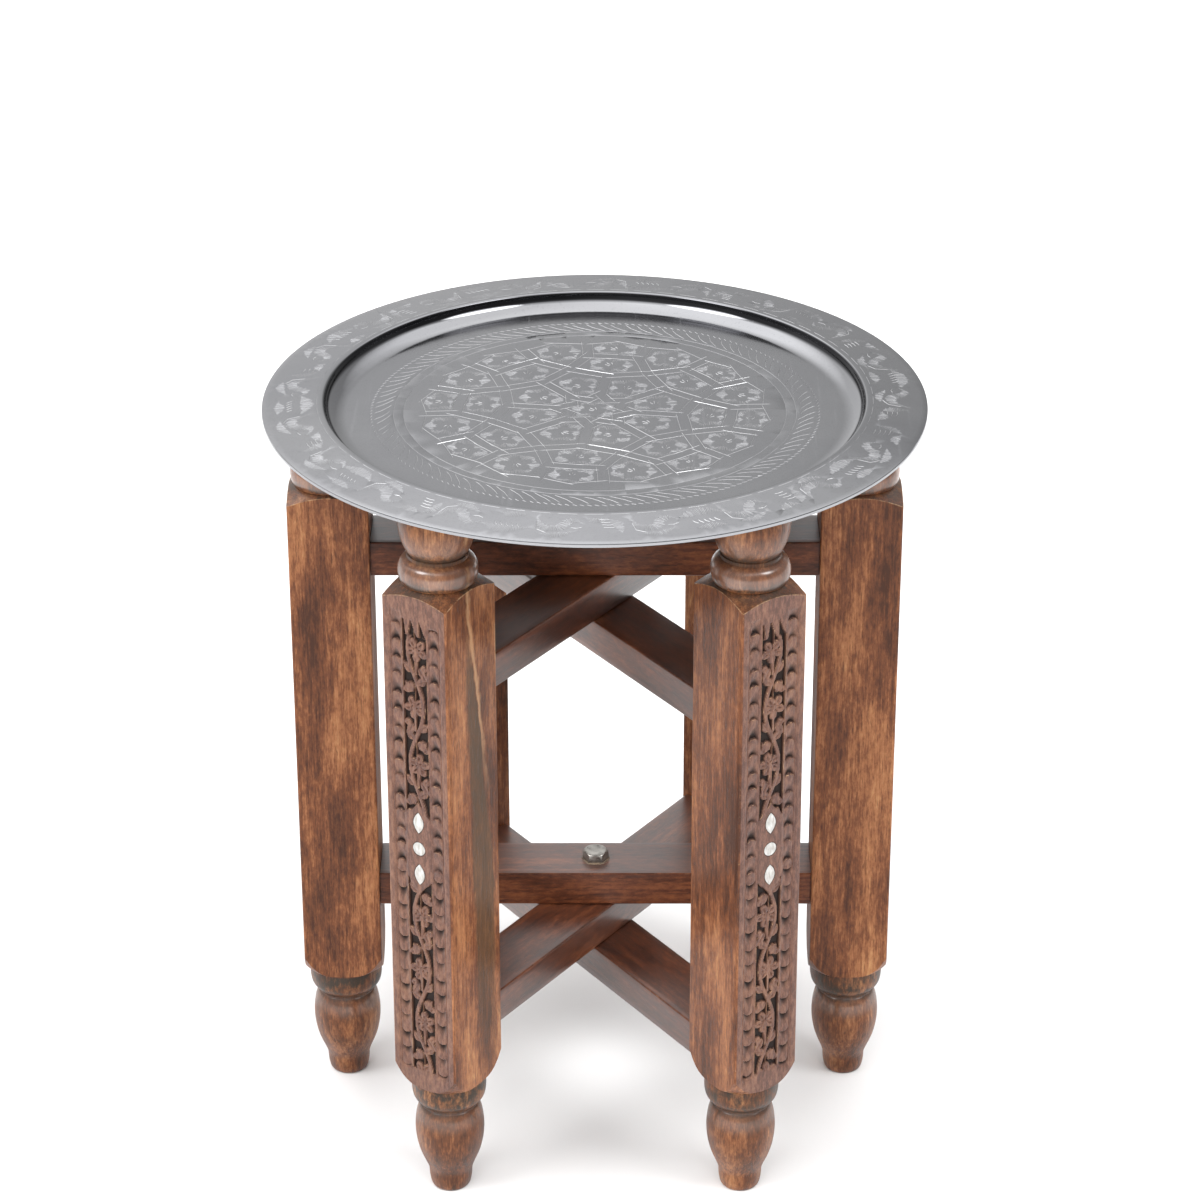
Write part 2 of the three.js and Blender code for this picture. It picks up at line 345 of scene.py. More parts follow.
# ---------------------------------------------------------------- shared effects

def make_grain_group():
    """Timber figure along the local Z: streaks, dark pores, slow stain patches, fibres and mottling."""
    figure = (
        # label, draw along the grain, scale, detail, roughness
        ("Streaks", 0.05, 330.0, 5.0, 0.6),
        ("Pores", 0.1, 900.0, 2.0, 0.5),
        ("Patches", 0.24, 30.0, 6.0, 0.6),
        ("Fibre", 0.06, 900.0, 3.0, 0.6),
        ("Mottle", 0.35, 330.0, 5.0, 0.75),
    )
    ins = [("Point", VECTOR, None), ("Seed", FLOAT, 0.0)]
    tree, start, end = new_group("timber_grain", ins, [row[0] for row in figure])
    seed = node(tree, "ShaderNodeCombineXYZ", {"X": start.outputs["Seed"]})
    moved = node(tree, "ShaderNodeVectorMath", {0: start.outputs["Point"], 1: seed.outputs[0]})
    for label, along, scale, detail, roughness in figure:
        drawn = stretch(tree, moved.outputs[0], (1, 1, along))
        value = noise(tree, drawn, scale, detail, roughness)
        if label == "Pores":
            value = span(tree, value, 0.6, 0.68)
        tree.links.new(value, end.inputs[label])
    return tree


def make_wear_group():
    """A patchy mask where handling has rubbed the stain off an edge."""
    ins = [("Point", VECTOR, None), ("Edge", FLOAT, 0.0), ("Reach", FLOAT, 0.5)]
    tree, start, end = new_group("rubbed_edges", ins, ["Mask"])
    patchy = noise(tree, start.outputs["Point"], 160.0, 4.0, 0.7)
    total = plus(tree, start.outputs["Edge"], minus(tree, patchy, 0.5))
    total = plus(tree, total, start.outputs["Reach"])
    tree.links.new(span(tree, total, 0.95, 1.2), end.inputs["Mask"])
    return tree


def make_scratch_group():
    """Thin crossing scratches over a surface."""
    ins = [("Point", VECTOR, None), ("Scale", FLOAT, 40.0), ("Amount", FLOAT, 0.5)]
    tree, start, end = new_group("fine_scratches", ins, ["Mask"])
    found = []
    for turn in (0.35, 1.5, 2.4):
        values = {"Vector": start.outputs["Point"], "Rotation": (0.2, 0.1, turn)}
        values["Scale"] = (1.0, 0.035, 1.0)
        turned = node(tree, "ShaderNodeMapping", values).outputs["Vector"]
        lines = noise(tree, turned, start.outputs["Scale"], 2.0, 0.5)
        found.append(span(tree, lines, 0.66, 0.74))
    both = higher(tree, found[0], found[1])
    total = higher(tree, both, found[2])
    tree.links.new(times(tree, total, start.outputs["Amount"]), end.inputs["Mask"])
    return tree


GRAIN = make_grain_group()
WEAR = make_wear_group()
SCRATCHES = make_scratch_group()

# ---------------------------------------------------------------- timber finishes

DARK_STAIN = hue(0.054, 0.018, 0.008)
MID_STAIN = hue(0.165, 0.055, 0.021)
LIGHT_STAIN = hue(0.33, 0.135, 0.055)
GOLD_STAIN = hue(0.50, 0.26, 0.11)
BARE_TIMBER = hue(0.58, 0.37, 0.20)
CARVED_STAIN = hue(0.132, 0.068, 0.049)
# Near black for deep recesses and creases: dirt with painted shade.
HOLLOW_DIRT_AND_SHADE = hue(0.014, 0.007, 0.005)
OLIVE_HEART = hue(0.066, 0.042, 0.020)
# Dark wax with painted shade on the turnings and the shoulder under the bead.
SOOT_AND_SHADE = hue(0.040, 0.028, 0.020)


def figure_sum(tree, grain, weights, start):
    """The timber figure's outputs added up, each with its weight."""
    total = start
    for label, weight in weights.items():
        total = plus(tree, times(tree, grain.outputs[label], weight), total)
    return total


def stain_colour(tree, grain, tone):
    """Brown stain that follows the grain; tone shifts it from dark to light."""
    weights = {"Streaks": 0.4, "Patches": 1.25, "Mottle": 0.7, "Fibre": 0.4}
    share = figure_sum(tree, grain, weights, tone - 0.33)
    lower = mixed(tree, span(tree, share, 0.80, 1.04), DARK_STAIN, MID_STAIN)
    middle = mixed(tree, span(tree, share, 1.02, 1.22), lower, LIGHT_STAIN)
    upper = mixed(tree, span(tree, share, 1.22, 1.44), middle, GOLD_STAIN)
    return mixed(tree, times(tree, grain.outputs["Pores"], 0.5), upper, DARK_STAIN)


def streak_mask(tree, point):
    """A wedge of olive heartwood on one plain face, wide low down, and the pale sapwood by it."""
    parts = node(tree, "ShaderNodeSeparateXYZ", {0: point})
    across, side, along = parts.outputs["X"], parts.outputs["Y"], parts.outputs["Z"]
    waver = noise(tree, stretch(tree, point, (1, 1, 0.3)), 90.0, 5.0, 0.65)
    across = plus(tree, across, times(tree, minus(tree, waver, 0.5), 0.014))
    left = span(tree, along, 0.12, 0.50, -0.002, 0.0085)
    right = span(tree, along, 0.30, 0.50, -0.024, 0.005)
    inside = times(tree, span(tree, minus(tree, left, across), -0.0005, 0.003),
                   span(tree, minus(tree, across, right), -0.0005, 0.002))
    on_face = times(tree, span(tree, side, 0.0262, 0.0272), span(tree, along, 0.10, 0.22))
    wedge = times(tree, times(tree, inside, on_face), span(tree, along, 0.51, 0.46))
    beside = minus(tree, right, across)
    band = times(tree, span(tree, beside, -0.0008, 0.001), span(tree, beside, 0.0048, 0.002))
    band = times(tree, band, span(tree, waver, 0.36, 0.56, 0.45, 1.0))
    pale = times(tree, times(tree, band, on_face), span(tree, along, 0.34, 0.42))
    return wedge, pale


def grazing_gloss(tree, most):
    """Wax that shines where the surface is seen from low down, and hardly from the front."""
    facing = node(tree, "ShaderNodeLayerWeight", {"Blend": 0.5}).outputs["Facing"]
    gloss = span(tree, facing, 0.25, 0.6, 0.0, most)
    return times(tree, gloss, span(tree, facing, 0.66, 0.84, 1.0, 0.12))


def make_leg_timber(name, seed, tone, heartwood=False):
    """Stained timber: plain faces show the grain, the carved face is darker and rubbed."""
    material, tree, shader = new_material(name)
    point = layer(tree, "grain", "Vector")
    grain = place_group(tree, GRAIN, {"Point": point, "Seed": seed})
    colour = stain_colour(tree, grain, tone)
    if heartwood:
        wedge, pale = streak_mask(tree, point)
        colour = mixed(tree, times(tree, wedge, 0.68), colour, OLIVE_HEART)
        colour = mixed(tree, times(tree, pale, 0.7), colour, hue(0.52, 0.30, 0.15))
    patches = grain.outputs["Patches"]
    mottle = grain.outputs["Mottle"]
    gloss = layer(tree, "polish")
    colour = mixed(tree, times(tree, gloss, 0.5), colour, hue(0.185, 0.070, 0.032))
    carved_tone = mixed(tree, span(tree, patches, 0.35, 0.68), hue(0.115, 0.058, 0.046), CARVED_STAIN)
    carved_tone = mixed(tree, span(tree, mottle, 0.45, 0.72, 0.0, 0.65), carved_tone, hue(0.30, 0.165, 0.115))
    carved_tone = mixed(tree, span(tree, mottle, 0.50, 0.32, 0.0, 0.5), carved_tone, hue(0.055, 0.032, 0.030))
    colour = mixed(tree, layer(tree, "carved"), colour, carved_tone)
    worn = place_group(tree, WEAR, {"Point": point, "Edge": layer(tree, "worn"), "Reach": 0.02})
    colour = mixed(tree, times(tree, worn.outputs["Mask"], 0.7), colour, BARE_TIMBER)
    # Painted shade with dirt: deep carved recesses and the narrow turned necks are darkened towards near
    # black.
    hollow_dirt_and_shade = layer(tree, "hollow_dirt_and_shade")
    colour = mixed(tree, span(tree, hollow_dirt_and_shade, 0.12, 0.95), colour, HOLLOW_DIRT_AND_SHADE)
    cloud = noise(tree, point, 60.0, 4.0, 0.6)
    speckle = plus(tree, times(tree, mottle, 0.5), times(tree, cloud, 0.6))
    # Dark wax speckle with painted shade on the lower sides of the turnings and the shoulder under the bead.
    soot_and_shade = times(tree, layer(tree, "soot_and_shade"), span(tree, speckle, 0.64, 0.5, 0.3, 1.0))
    colour = mixed(tree, soot_and_shade, colour, SOOT_AND_SHADE)
    dark_line = layer(tree, "grime")
    colour = mixed(tree, times(tree, dark_line, 0.8), colour, HOLLOW_DIRT_AND_SHADE)
    rough = span(tree, mottle, 0.3, 0.7, 0.34, 0.52)
    rough = plus(tree, rough, times(tree, hollow_dirt_and_shade, 0.3))
    height = minus(tree, times(tree, grain.outputs["Fibre"], 0.5),
                   times(tree, grain.outputs["Pores"], 0.6))
    height = plus(tree, height, times(tree, mottle, 0.7))
    feed(tree, shader, Base_Color=colour, Roughness=rough, Normal=bump(tree, height, 0.0004, 0.55))
    polish = times(tree, gloss, span(tree, patches, 0.35, 0.6, 0.4, 1.0))
    feed(tree, shader, Coat_Weight=higher(tree, grazing_gloss(tree, 0.3), polish))
    shader.inputs["Coat Roughness"].default_value = 0.2
    shader.inputs["Coat IOR"].default_value = 1.8
    shader.inputs["Specular IOR Level"].default_value = 0.25
    return material


def make_bar_timber(name, seed, tone):
    """Smoother, redder timber for the crossbars, mottled dark."""
    material, tree, shader = new_material(name)
    point = layer(tree, "grain", "Vector")
    grain = place_group(tree, GRAIN, {"Point": point, "Seed": seed})
    share = figure_sum(tree, grain, {"Streaks": 0.3, "Patches": 0.8, "Mottle": 0.5}, tone)
    colour = mixed(tree, span(tree, share, 0.66, 0.86), hue(0.030, 0.010, 0.006), hue(0.105, 0.032, 0.014))
    colour = mixed(tree, span(tree, share, 0.84, 1.04), colour, hue(0.24, 0.078, 0.03))
    colour = mixed(tree, times(tree, grain.outputs["Pores"], 0.5), colour, hue(0.02, 0.008, 0.005))
    worn = place_group(tree, WEAR, {"Point": point, "Edge": layer(tree, "worn"), "Reach": -0.02})
    colour = mixed(tree, times(tree, worn.outputs["Mask"], 0.35), colour, hue(0.36, 0.20, 0.11))
    rough = span(tree, grain.outputs["Patches"], 0.3, 0.7, 0.3, 0.46)
    height = minus(tree, times(tree, grain.outputs["Mottle"], 0.8),
                   times(tree, grain.outputs["Pores"], 0.6))
    feed(tree, shader, Base_Color=colour, Roughness=rough, Normal=bump(tree, height, 0.0003, 0.5))
    feed(tree, shader, Coat_Weight=grazing_gloss(tree, 1.0))
    shader.inputs["Coat Roughness"].default_value = 0.3
    shader.inputs["Coat IOR"].default_value = 2.2
    shader.inputs["Specular IOR Level"].default_value = 0.25
    return material


# ---------------------------------------------------------------- metal and shell finishes


def make_tray_metal():
    """Grey polished plate; cut strokes and hatching are less smooth, and painted brighter as a sheen for the
    light their grooves scatter.
    """
    material, tree, shader = new_material("tray_metal_polished")
    point = node(tree, "ShaderNodeTexCoord").outputs["Object"]
    parts = node(tree, "ShaderNodeSeparateXYZ", {0: point})
    flat = node(tree, "ShaderNodeCombineXYZ", {"X": parts.outputs["X"], "Y": parts.outputs["Y"], "Z": 0.0})
    radius = node(tree, "ShaderNodeVectorMath", {0: flat.outputs[0]}, operation="LENGTH").outputs["Value"]
    wall = times(tree, span(tree, radius, 0.180, 0.198), span(tree, radius, 0.208, 0.2055))
    # Painted dark reflection: the upper wall under the rim is coloured near black, standing in for the dark
    # room the wall reflects.
    high_up = times(tree, span(tree, parts.outputs["Z"], 0.5896, 0.5914),
                    span(tree, parts.outputs["Z"], 0.5974, 0.5966))
    painted_dark_band = times(tree, high_up, span(tree, radius, 0.2062, 0.2052))
    cloud = noise(tree, point, 9.0, 3.0, 0.5)
    specks = noise(tree, point, 420.0, 2.0, 0.5)
    colour = mixed(tree, span(tree, cloud, 0.35, 0.7), hue(0.318, 0.320, 0.336), hue(0.352, 0.354, 0.366))
    colour = mixed(tree, span(tree, specks, 0.58, 0.72, 0.0, 0.3), colour, hue(0.26, 0.26, 0.275))
    # Painted dark reflection on the upper wall.
    colour = mixed(tree, times(tree, painted_dark_band, 0.95), colour, hue(0.03, 0.03, 0.033))
    under = span(tree, parts.outputs["Z"], 0.5844, 0.5840)
    colour = mixed(tree, times(tree, under, 0.8), colour, hue(0.085, 0.070, 0.060))
    # Painted sheen: cut strokes are coloured brighter, standing in for the light their grooves scatter.
    cut = layer(tree, "cut")
    colour = mixed(tree, span(tree, cut, 0.0, 1.0, 0.0, 0.85), colour, hue(0.76, 0.76, 0.77))
    scratches = place_group(tree, SCRATCHES, {"Point": point, "Scale": 210.0, "Amount": 1.0})
    rough = span(tree, cloud, 0.3, 0.75, 0.13, 0.19)
    rough = mixed(tree, wall, rough, hue(0.05, 0.05, 0.05))
    rough = plus(tree, rough, times(tree, cut, 0.16))
    rough = plus(tree, rough, times(tree, under, 0.25))
    rough = plus(tree, rough, times(tree, scratches.outputs["Mask"], 0.08))
    wave = bump(tree, noise(tree, point, 26.0, 2.0, 0.45), 0.0012, 0.16)
    fine = bump(tree, scratches.outputs["Mask"], 0.00002, 0.5, wave)
    feed(tree, shader, Base_Color=colour, Roughness=rough, Normal=fine)
    shader.inputs["Metallic"].default_value = 1.0
    return material


def make_bolt_steel():
    """Dull steel with brown stains."""
    material, tree, shader = new_material("bolt_steel_dull")
    point = node(tree, "ShaderNodeTexCoord").outputs["Object"]
    cloud = noise(tree, point, 200.0, 4.0, 0.6)
    colour = mixed(tree, span(tree, cloud, 0.35, 0.6), hue(0.27, 0.26, 0.24), hue(0.46, 0.44, 0.41))
    rust = noise(tree, point, 170.0, 6.0, 0.7)
    colour = mixed(tree, span(tree, rust, 0.60, 0.72, 0.0, 0.7), colour, hue(0.12, 0.08, 0.05))
    rough = span(tree, cloud, 0.3, 0.7, 0.26, 0.42)
    metal = span(tree, rust, 0.6, 0.72, 1.0, 0.5)
    height = minus(tree, cloud, times(tree, rust, 0.6))
    relief = bump(tree, height, 0.00002, 0.15)
    feed(tree, shader, Base_Color=colour, Roughness=rough, Metallic=metal, Normal=relief)
    return material


def make_wax():
    """Old yellowish wax smeared round a bolt."""
    material, tree, shader = new_material("old_wax")
    point = node(tree, "ShaderNodeTexCoord").outputs["Object"]
    cloud = noise(tree, point, 240.0, 4.0, 0.6)
    colour = mixed(tree, span(tree, cloud, 0.3, 0.7), hue(0.07, 0.045, 0.032), hue(0.27, 0.20, 0.13))
    rough = span(tree, cloud, 0.3, 0.7, 0.35, 0.6)
    feed(tree, shader, Base_Color=colour, Roughness=rough, Normal=bump(tree, cloud, 0.0006, 0.6))
    return material


def make_shell():
    """Polished white shell with a faint layered lustre."""
    material, tree, shader = new_material("white_shell")
    point = node(tree, "ShaderNodeTexCoord").outputs["Object"]
    layers_fac = noise(tree, stretch(tree, point, (1, 1, 0.35)), 420.0, 3.0, 0.5)
    colour = mixed(tree, span(tree, layers_fac, 0.35, 0.68), hue(0.36, 0.34, 0.31), hue(0.58, 0.57, 0.55))
    tint = noise(tree, point, 150.0, 2.0, 0.5)
    colour = mixed(tree, span(tree, tint, 0.5, 0.7, 0.0, 0.25), colour, hue(0.44, 0.53, 0.52))
    rough = span(tree, layers_fac, 0.3, 0.7, 0.16, 0.3)
    feed(tree, shader, Base_Color=colour, Roughness=rough, Normal=bump(tree, layers_fac, 0.0002, 0.3))
    shader.inputs["Coat Weight"].default_value = 0.5
    shader.inputs["Coat Roughness"].default_value = 0.08
    return material


# ---------------------------------------------------------------- leg carving

PANEL_FOOT = 117.0
PANEL_HEAD = 510.5
PAD_FOOT = 284.0
PAD_HEAD = 347.0
STRIP_HALF = 10.7
STRIP_DEPTH = 2.5
SCALE_MIDDLE = 16.8
SCALE_HALF = 4.9
SCALE_PITCH = 14.2
SCALE_DEPTH = 2.5
BORDER_AT = 22.6
FLOWER_PITCH = 47.0
VINE_SWING = 6.6


def disc_relief(u, v, middle, radius):
    """Height from 0 to 1 of a round-topped disc."""
    reach = np.hypot(u - middle[0], v - middle[1]) / radius
    return np.clip((1.06 - reach) / 0.28, 0.0, 1.0) * (0.86 + 0.14 * np.sqrt(np.clip(1 - reach**2, 0, 1)))


def slit_cut(u, v, middle, angle, length, width):
    """Depth from 0 to 1 of a short gouge cut."""
    c, s = math.cos(angle), math.sin(angle)
    along = ((u - middle[0]) * c + (v - middle[1]) * s) / length
    across = (-(u - middle[0]) * s + (v - middle[1]) * c) / width
    return np.clip(1.0 - np.hypot(along, across), 0.0, 1.0)


def leaf_relief(u, v, foot, angle, length, width):
    """Height from 0 to 1 of a pointed leaf with a sunk vein."""
    c, s = math.cos(angle), math.sin(angle)
    along = ((u - foot[0]) * c + (v - foot[1]) * s) / length
    across = -(u - foot[0]) * s + (v - foot[1]) * c
    half = width * np.sin(np.pi * np.clip(along, 0.0, 1.0) ** 0.8)
    body = np.clip((half - np.abs(across)) / 0.6 + 0.2, 0.0, 1.0)
    inside = (along > -0.02) & (along < 1.02)
    vein = 0.35 * np.clip(1.0 - np.abs(across) / 0.55, 0.0, 1.0) * (along < 0.85)
    return np.where(inside, body * (0.92 - vein), 0.0)


def petal_relief(u, v, spot, angle, length, width):
    """A plump petal with a curved gouge slit down its middle."""
    c, s = math.cos(angle), math.sin(angle)
    along = ((u - spot[0]) * c + (v - spot[1]) * s) / length
    across = (-(u - spot[0]) * s + (v - spot[1]) * c) / width
    reach = np.hypot(along, across)
    body = np.clip((1.06 - reach) / 0.2, 0.0, 1.0) * (0.72 + 0.28 * np.sqrt(np.clip(1 - reach**2, 0, 1)))
    slit = np.clip(1.0 - np.hypot((along + 0.05) / 0.62, (across - 0.12) / 0.24), 0.0, 1.0)
    return body - 0.5 * np.minimum(slit * 2.0, 1.0)


def flower_relief(u, v, middle, radius, petals, lean):
    """A flower of round petals round a small boss."""
    height = np.zeros_like(u)
    for k in range(petals):
        angle = lean + 2.0 * math.pi * k / petals
        out = radius * 0.60
        spot = (middle[0] + out * math.cos(angle), middle[1] + out * math.sin(angle))
        petal = petal_relief(u, v, spot, angle, radius * 0.43, radius * 0.36)
        height = np.maximum(height, petal)
    return np.maximum(height, disc_relief(u, v, middle, radius * 0.25))


def vine_relief(u, v, first, side):
    """A stem that swings past one flower on the left and past the next on the right."""
    turn = math.pi * (v - first) / FLOWER_PITCH
    middle = -side * VINE_SWING * np.cos(turn)
    slope = side * VINE_SWING * np.sin(turn) * math.pi / FLOWER_PITCH
    distance = np.abs(u - middle) / np.hypot(1.0, slope)
    return np.clip((2.0 - distance) / 0.6, 0.0, 1.0) * (0.96 - 0.10 * np.clip(distance / 1.6, 0, 1) ** 2)


def branch_relief(u, v, start, end, half):
    """A straight twig between two points."""
    direction = np.array(end) - np.array(start)
    length2 = float(direction @ direction)
    share = np.clip(((u - start[0]) * direction[0] + (v - start[1]) * direction[1]) / length2, 0, 1)
    distance = np.hypot(u - start[0] - share * direction[0], v - start[1] - share * direction[1])
    return np.clip((half - distance) / 0.6 + 0.3, 0.0, 1.0) * 0.9


def strip_motifs(u, v, foot, head, side, chance):
    """Flowers, buds, leaves and the stem of one panel's middle strip, as height from 0 to 1."""
    count = max(1, round((head - foot - 14.0) / FLOWER_PITCH))
    first = head - 27.0 - FLOWER_PITCH * (count - 1)
    height = vine_relief(u, v, first, side)
    for k in range(-1, count + 1):
        at = first + FLOWER_PITCH * k
        way = side if k % 2 == 0 else -side
        middle = (way * (1.4 + chance.uniform(-0.3, 0.3)), at + chance.uniform(-1.2, 1.2))
        size = chance.uniform(9.4, 10.2)
        pieces = [flower_relief(u, v, middle, size, 5, chance.uniform(0.0, 1.2))]
        pieces.append(branch_relief(u, v, middle, (way * 0.8, at - 19.0), 1.2))
        for bud in ((way * 8.0, at + 13.5), (way * 7.6, at - 13.5), (way * 3.4, at + 17.0)):
            pieces.append(disc_relief(u, v, bud, 3.2) - 0.5 * slit_cut(u, v, bud, 1.2, 1.9, 1.0))
        for foot_at, angle, length in (
            ((way * 3.0, at - 13.5), -math.pi / 2 + way * 0.55, 13.0),
            ((way * 2.0, at + 12.5), math.pi / 2 - way * 0.75, 10.5),
            ((-way * 3.0, at - 19.0), math.pi / 2 + way * 0.75, 11.0),
            ((-way * 1.5, at + 20.0), math.pi / 2 + way * 1.0, 10.5),
            ((-way * 4.6, at - 26.0), -math.pi / 2 - way * 0.15, 10.0),
        ):
            pieces.append(leaf_relief(u, v, foot_at, angle + chance.uniform(-0.15, 0.15), length, 3.6))
        for piece in pieces:
            height = np.maximum(height, piece)
    return height


def head_gouges(u, v, head):
    """Pointed gouges between the leaves that close a panel's upper end."""
    depth = np.zeros_like(u)
    for middle, lean, length in ((-9.6, 0.16, 15.0), (-3.2, -0.10, 16.0), (4.2, -0.24, 20.0)):
        along = (head - 1.0 - v) / length
        across = u - (middle - lean * (head - v)) - 3.0 * lean * np.sin(np.clip(along, 0, 1) * math.pi)
        half = 4.4 * np.clip(along, 0.0, 1.0) ** 1.1
        inside = (along > 0.0) & (along < 1.0)
        depth = np.maximum(depth, np.where(inside, np.clip((half - np.abs(across)) / 0.8, 0, 1), 0))
    return depth


def scale_depth(u, v, upper, shift):
    """Depth of the column of overlapping scales beside the strip."""
    sideways = np.abs(u) - SCALE_MIDDLE
    arc = np.sqrt(np.clip(SCALE_HALF**2 - sideways**2, 0.0, None))
    arc = np.where(upper, arc, -arc)
    hand = 0.8 * np.sin(v * 0.21 + shift) + 0.6 * np.sin(v * 0.083 + shift * 2.0)
    share = (v + hand - arc + shift) / SCALE_PITCH
    deep = 1.0 + 0.22 * np.sin(np.floor(share) * 2.1 + shift * 3.0)
    share = share % 1.0
    share = np.where(upper, share, 1.0 - share)
    narrow = 1.0 - 0.7 * np.clip(np.abs(sideways) / SCALE_HALF, 0.0, 1.0) ** 2
    fall = SCALE_DEPTH * deep * (1.0 - share) ** 1.8 * smooth_step(0.0, 0.04, share) * narrow
    crown = 0.9 * (sideways / SCALE_HALF) ** 2 * smooth_step(0.3, 0.9, share)
    inside = np.clip((SCALE_HALF - np.abs(sideways)) / 0.7, 0.0, 1.0)
    return (0.12 + fall + crown) * inside


def carving_depth(u, v, name):
    """How far the carved face is cut back at each point, in mm."""
    chance = random.Random("carving " + name)
    side = 1.0 if name in ("b_front", "a_left", "c_back") else -1.0
    depth = np.zeros_like(u)
    for middle, half, deep in ((BORDER_AT, 0.55, 0.9), (11.6, 0.4, 0.5)):
        line = np.clip(1.0 - np.abs(np.abs(u) - middle) / half, 0.0, 1.0) * deep
        depth = np.maximum(depth, line * ((v > PANEL_FOOT) & (v < PANEL_HEAD - 6.0)))
    head_at = np.where((u > 0) & (name == "b_front"), PANEL_HEAD - 8.0, PANEL_HEAD)
    in_scales = (v > PANEL_FOOT) & (v < head_at)
    ends = smooth_step(PANEL_FOOT, PANEL_FOOT + 2.5, v) * smooth_step(0.0, 2.5, head_at - v)
    shift = np.where(u > 0, chance.uniform(0, 4.0), chance.uniform(0, 4.0))
    scales = scale_depth(u, v, v > INLAY_CENTRE - 20.0, shift)
    depth = np.maximum(depth, np.where(in_scales, scales * ends, 0.0))
    pad_reach = np.abs(v - (PAD_FOOT + PAD_HEAD) / 2.0) - (PAD_HEAD - PAD_FOOT) / 2.0
    pad_half = STRIP_HALF * (1.0 - smooth_step(-7.0, 9.0, pad_reach))
    halfway = (PAD_FOOT + PAD_HEAD) / 2
    for low, high in ((PANEL_FOOT + 2.0, halfway), (halfway, PANEL_HEAD - 3.0)):
        foot = low if low < 200 else PAD_HEAD
        head = high if high > 400 else PAD_FOOT
        inside = np.clip((STRIP_HALF - np.abs(u)) / 0.5, 0, 1) * np.clip((v - low) / 0.6, 0, 1)
        inside *= np.clip((high - v) / 0.6, 0, 1)
        inside *= np.clip((np.abs(u) - pad_half) / 0.5, 0, 1)
        height = strip_motifs(u, v, foot, head, side, chance)
        strip = STRIP_DEPTH * (1.0 - np.clip(height, 0.0, 1.0)) * inside
        if high > 400:
            top_zone = smooth_step(head - 17.0, head - 15.0, v)
            strip = strip * (1 - top_zone) + top_zone * inside * STRIP_DEPTH * head_gouges(u, v, head)
        depth = np.maximum(depth, strip)
    return depth


def inlay_reach(u, v):
    """How far each point of the carved face lies outside the nearest inlay's outline."""
    dot = np.hypot(u, v - INLAY_CENTRE) - DOT_RADIUS
    away = np.abs(np.abs(v - INLAY_CENTRE) - INLAY_PITCH) / (LEAF_LENGTH / 2)
    leaf = np.where(away < 1.0, np.abs(u) - LEAF_WIDTH / 2 * (1.0 - np.clip(away, 0, 1) ** 2), 4.0)
    return np.minimum(dot, leaf)


# ---------------------------------------------------------------- legs

LEG_COLUMNS = (80, 14, 14, 14)  # parts across the carved face and the three plain ones
CARVED_STEP = 0.78


def foot_line():
    """The turned foot from the ground to the collar, as [radius, height]."""
    toe = [(12.6, 0), (14.2, 0.3), (15.6, 3.0), (16.6, 9.0), (16.8, 14.6)]
    vase = [(16.8, 14.6), (17.6, 18.6), (24.6, 35.0), (27.2, 53.0), (25.6, 69.0), (23.0, 75.4)]
    neck = [(22.3, 76.2), (22.2, 79.0)]
    collar = [(23.6, 79.6), (27.6, 83.6), (28.9, 91.0), (28.6, 98.0), (28.2, 101.0)]
    return np.vstack([cut_corners(toe, 2), cut_corners(vase)[1:], neck, cut_corners(collar)])


def head_line():
    """The turned bead and cup from the shoulder to the flat top."""
    fillet = [(26.2, 526.5)]
    bead = [(27.4, 527.0), (28.8, 529.6), (29.5, 534.4), (29.2, 538.6), (27.2, 543.0), (23.2, 545.4)]
    neck = [(22.7, 545.8), (22.6, 548.2)]
    cup = [(21.4, 548.8), (23.4, 551.6), (27.0, 560.0), (29.0, 571.0), (28.4, 579.0), (26.4, 583.2)]
    return np.vstack([fillet, cut_corners(bead), neck, cut_corners(cup)])


def foot_arc(reach):
    """Height where a point this far from the axis leaves the domed lower shoulder."""
    share = np.clip((reach - COLLAR_RADIUS) / (CORNER_RADIUS - COLLAR_RADIUS), 0.0, 1.0)
    return BLOCK_BOTTOM + FOOT_SHOULDER * share**2


def head_arc(reach):
    """Height where a point this far from the axis meets the sloping upper shoulder."""
    share = np.clip((CORNER_RADIUS - reach) / (CORNER_RADIUS - SHOULDER_NECK), 0.0, 1.0)
    return BLOCK_TOP + TOP_SHOULDER * share


def block_levels():
    """Shares of the block's height where the grid has rows, close together over the carving."""
    low = np.array([0.0, 0.0016, 0.004, 0.009, 0.016])
    body = np.arange(0.026, 0.985, CARVED_STEP / (BLOCK_TOP - BLOCK_BOTTOM))
    high = np.array([0.987, 0.991, 0.9945, 0.9975, 0.999, 1.0])
    return np.concatenate([low, body, high])


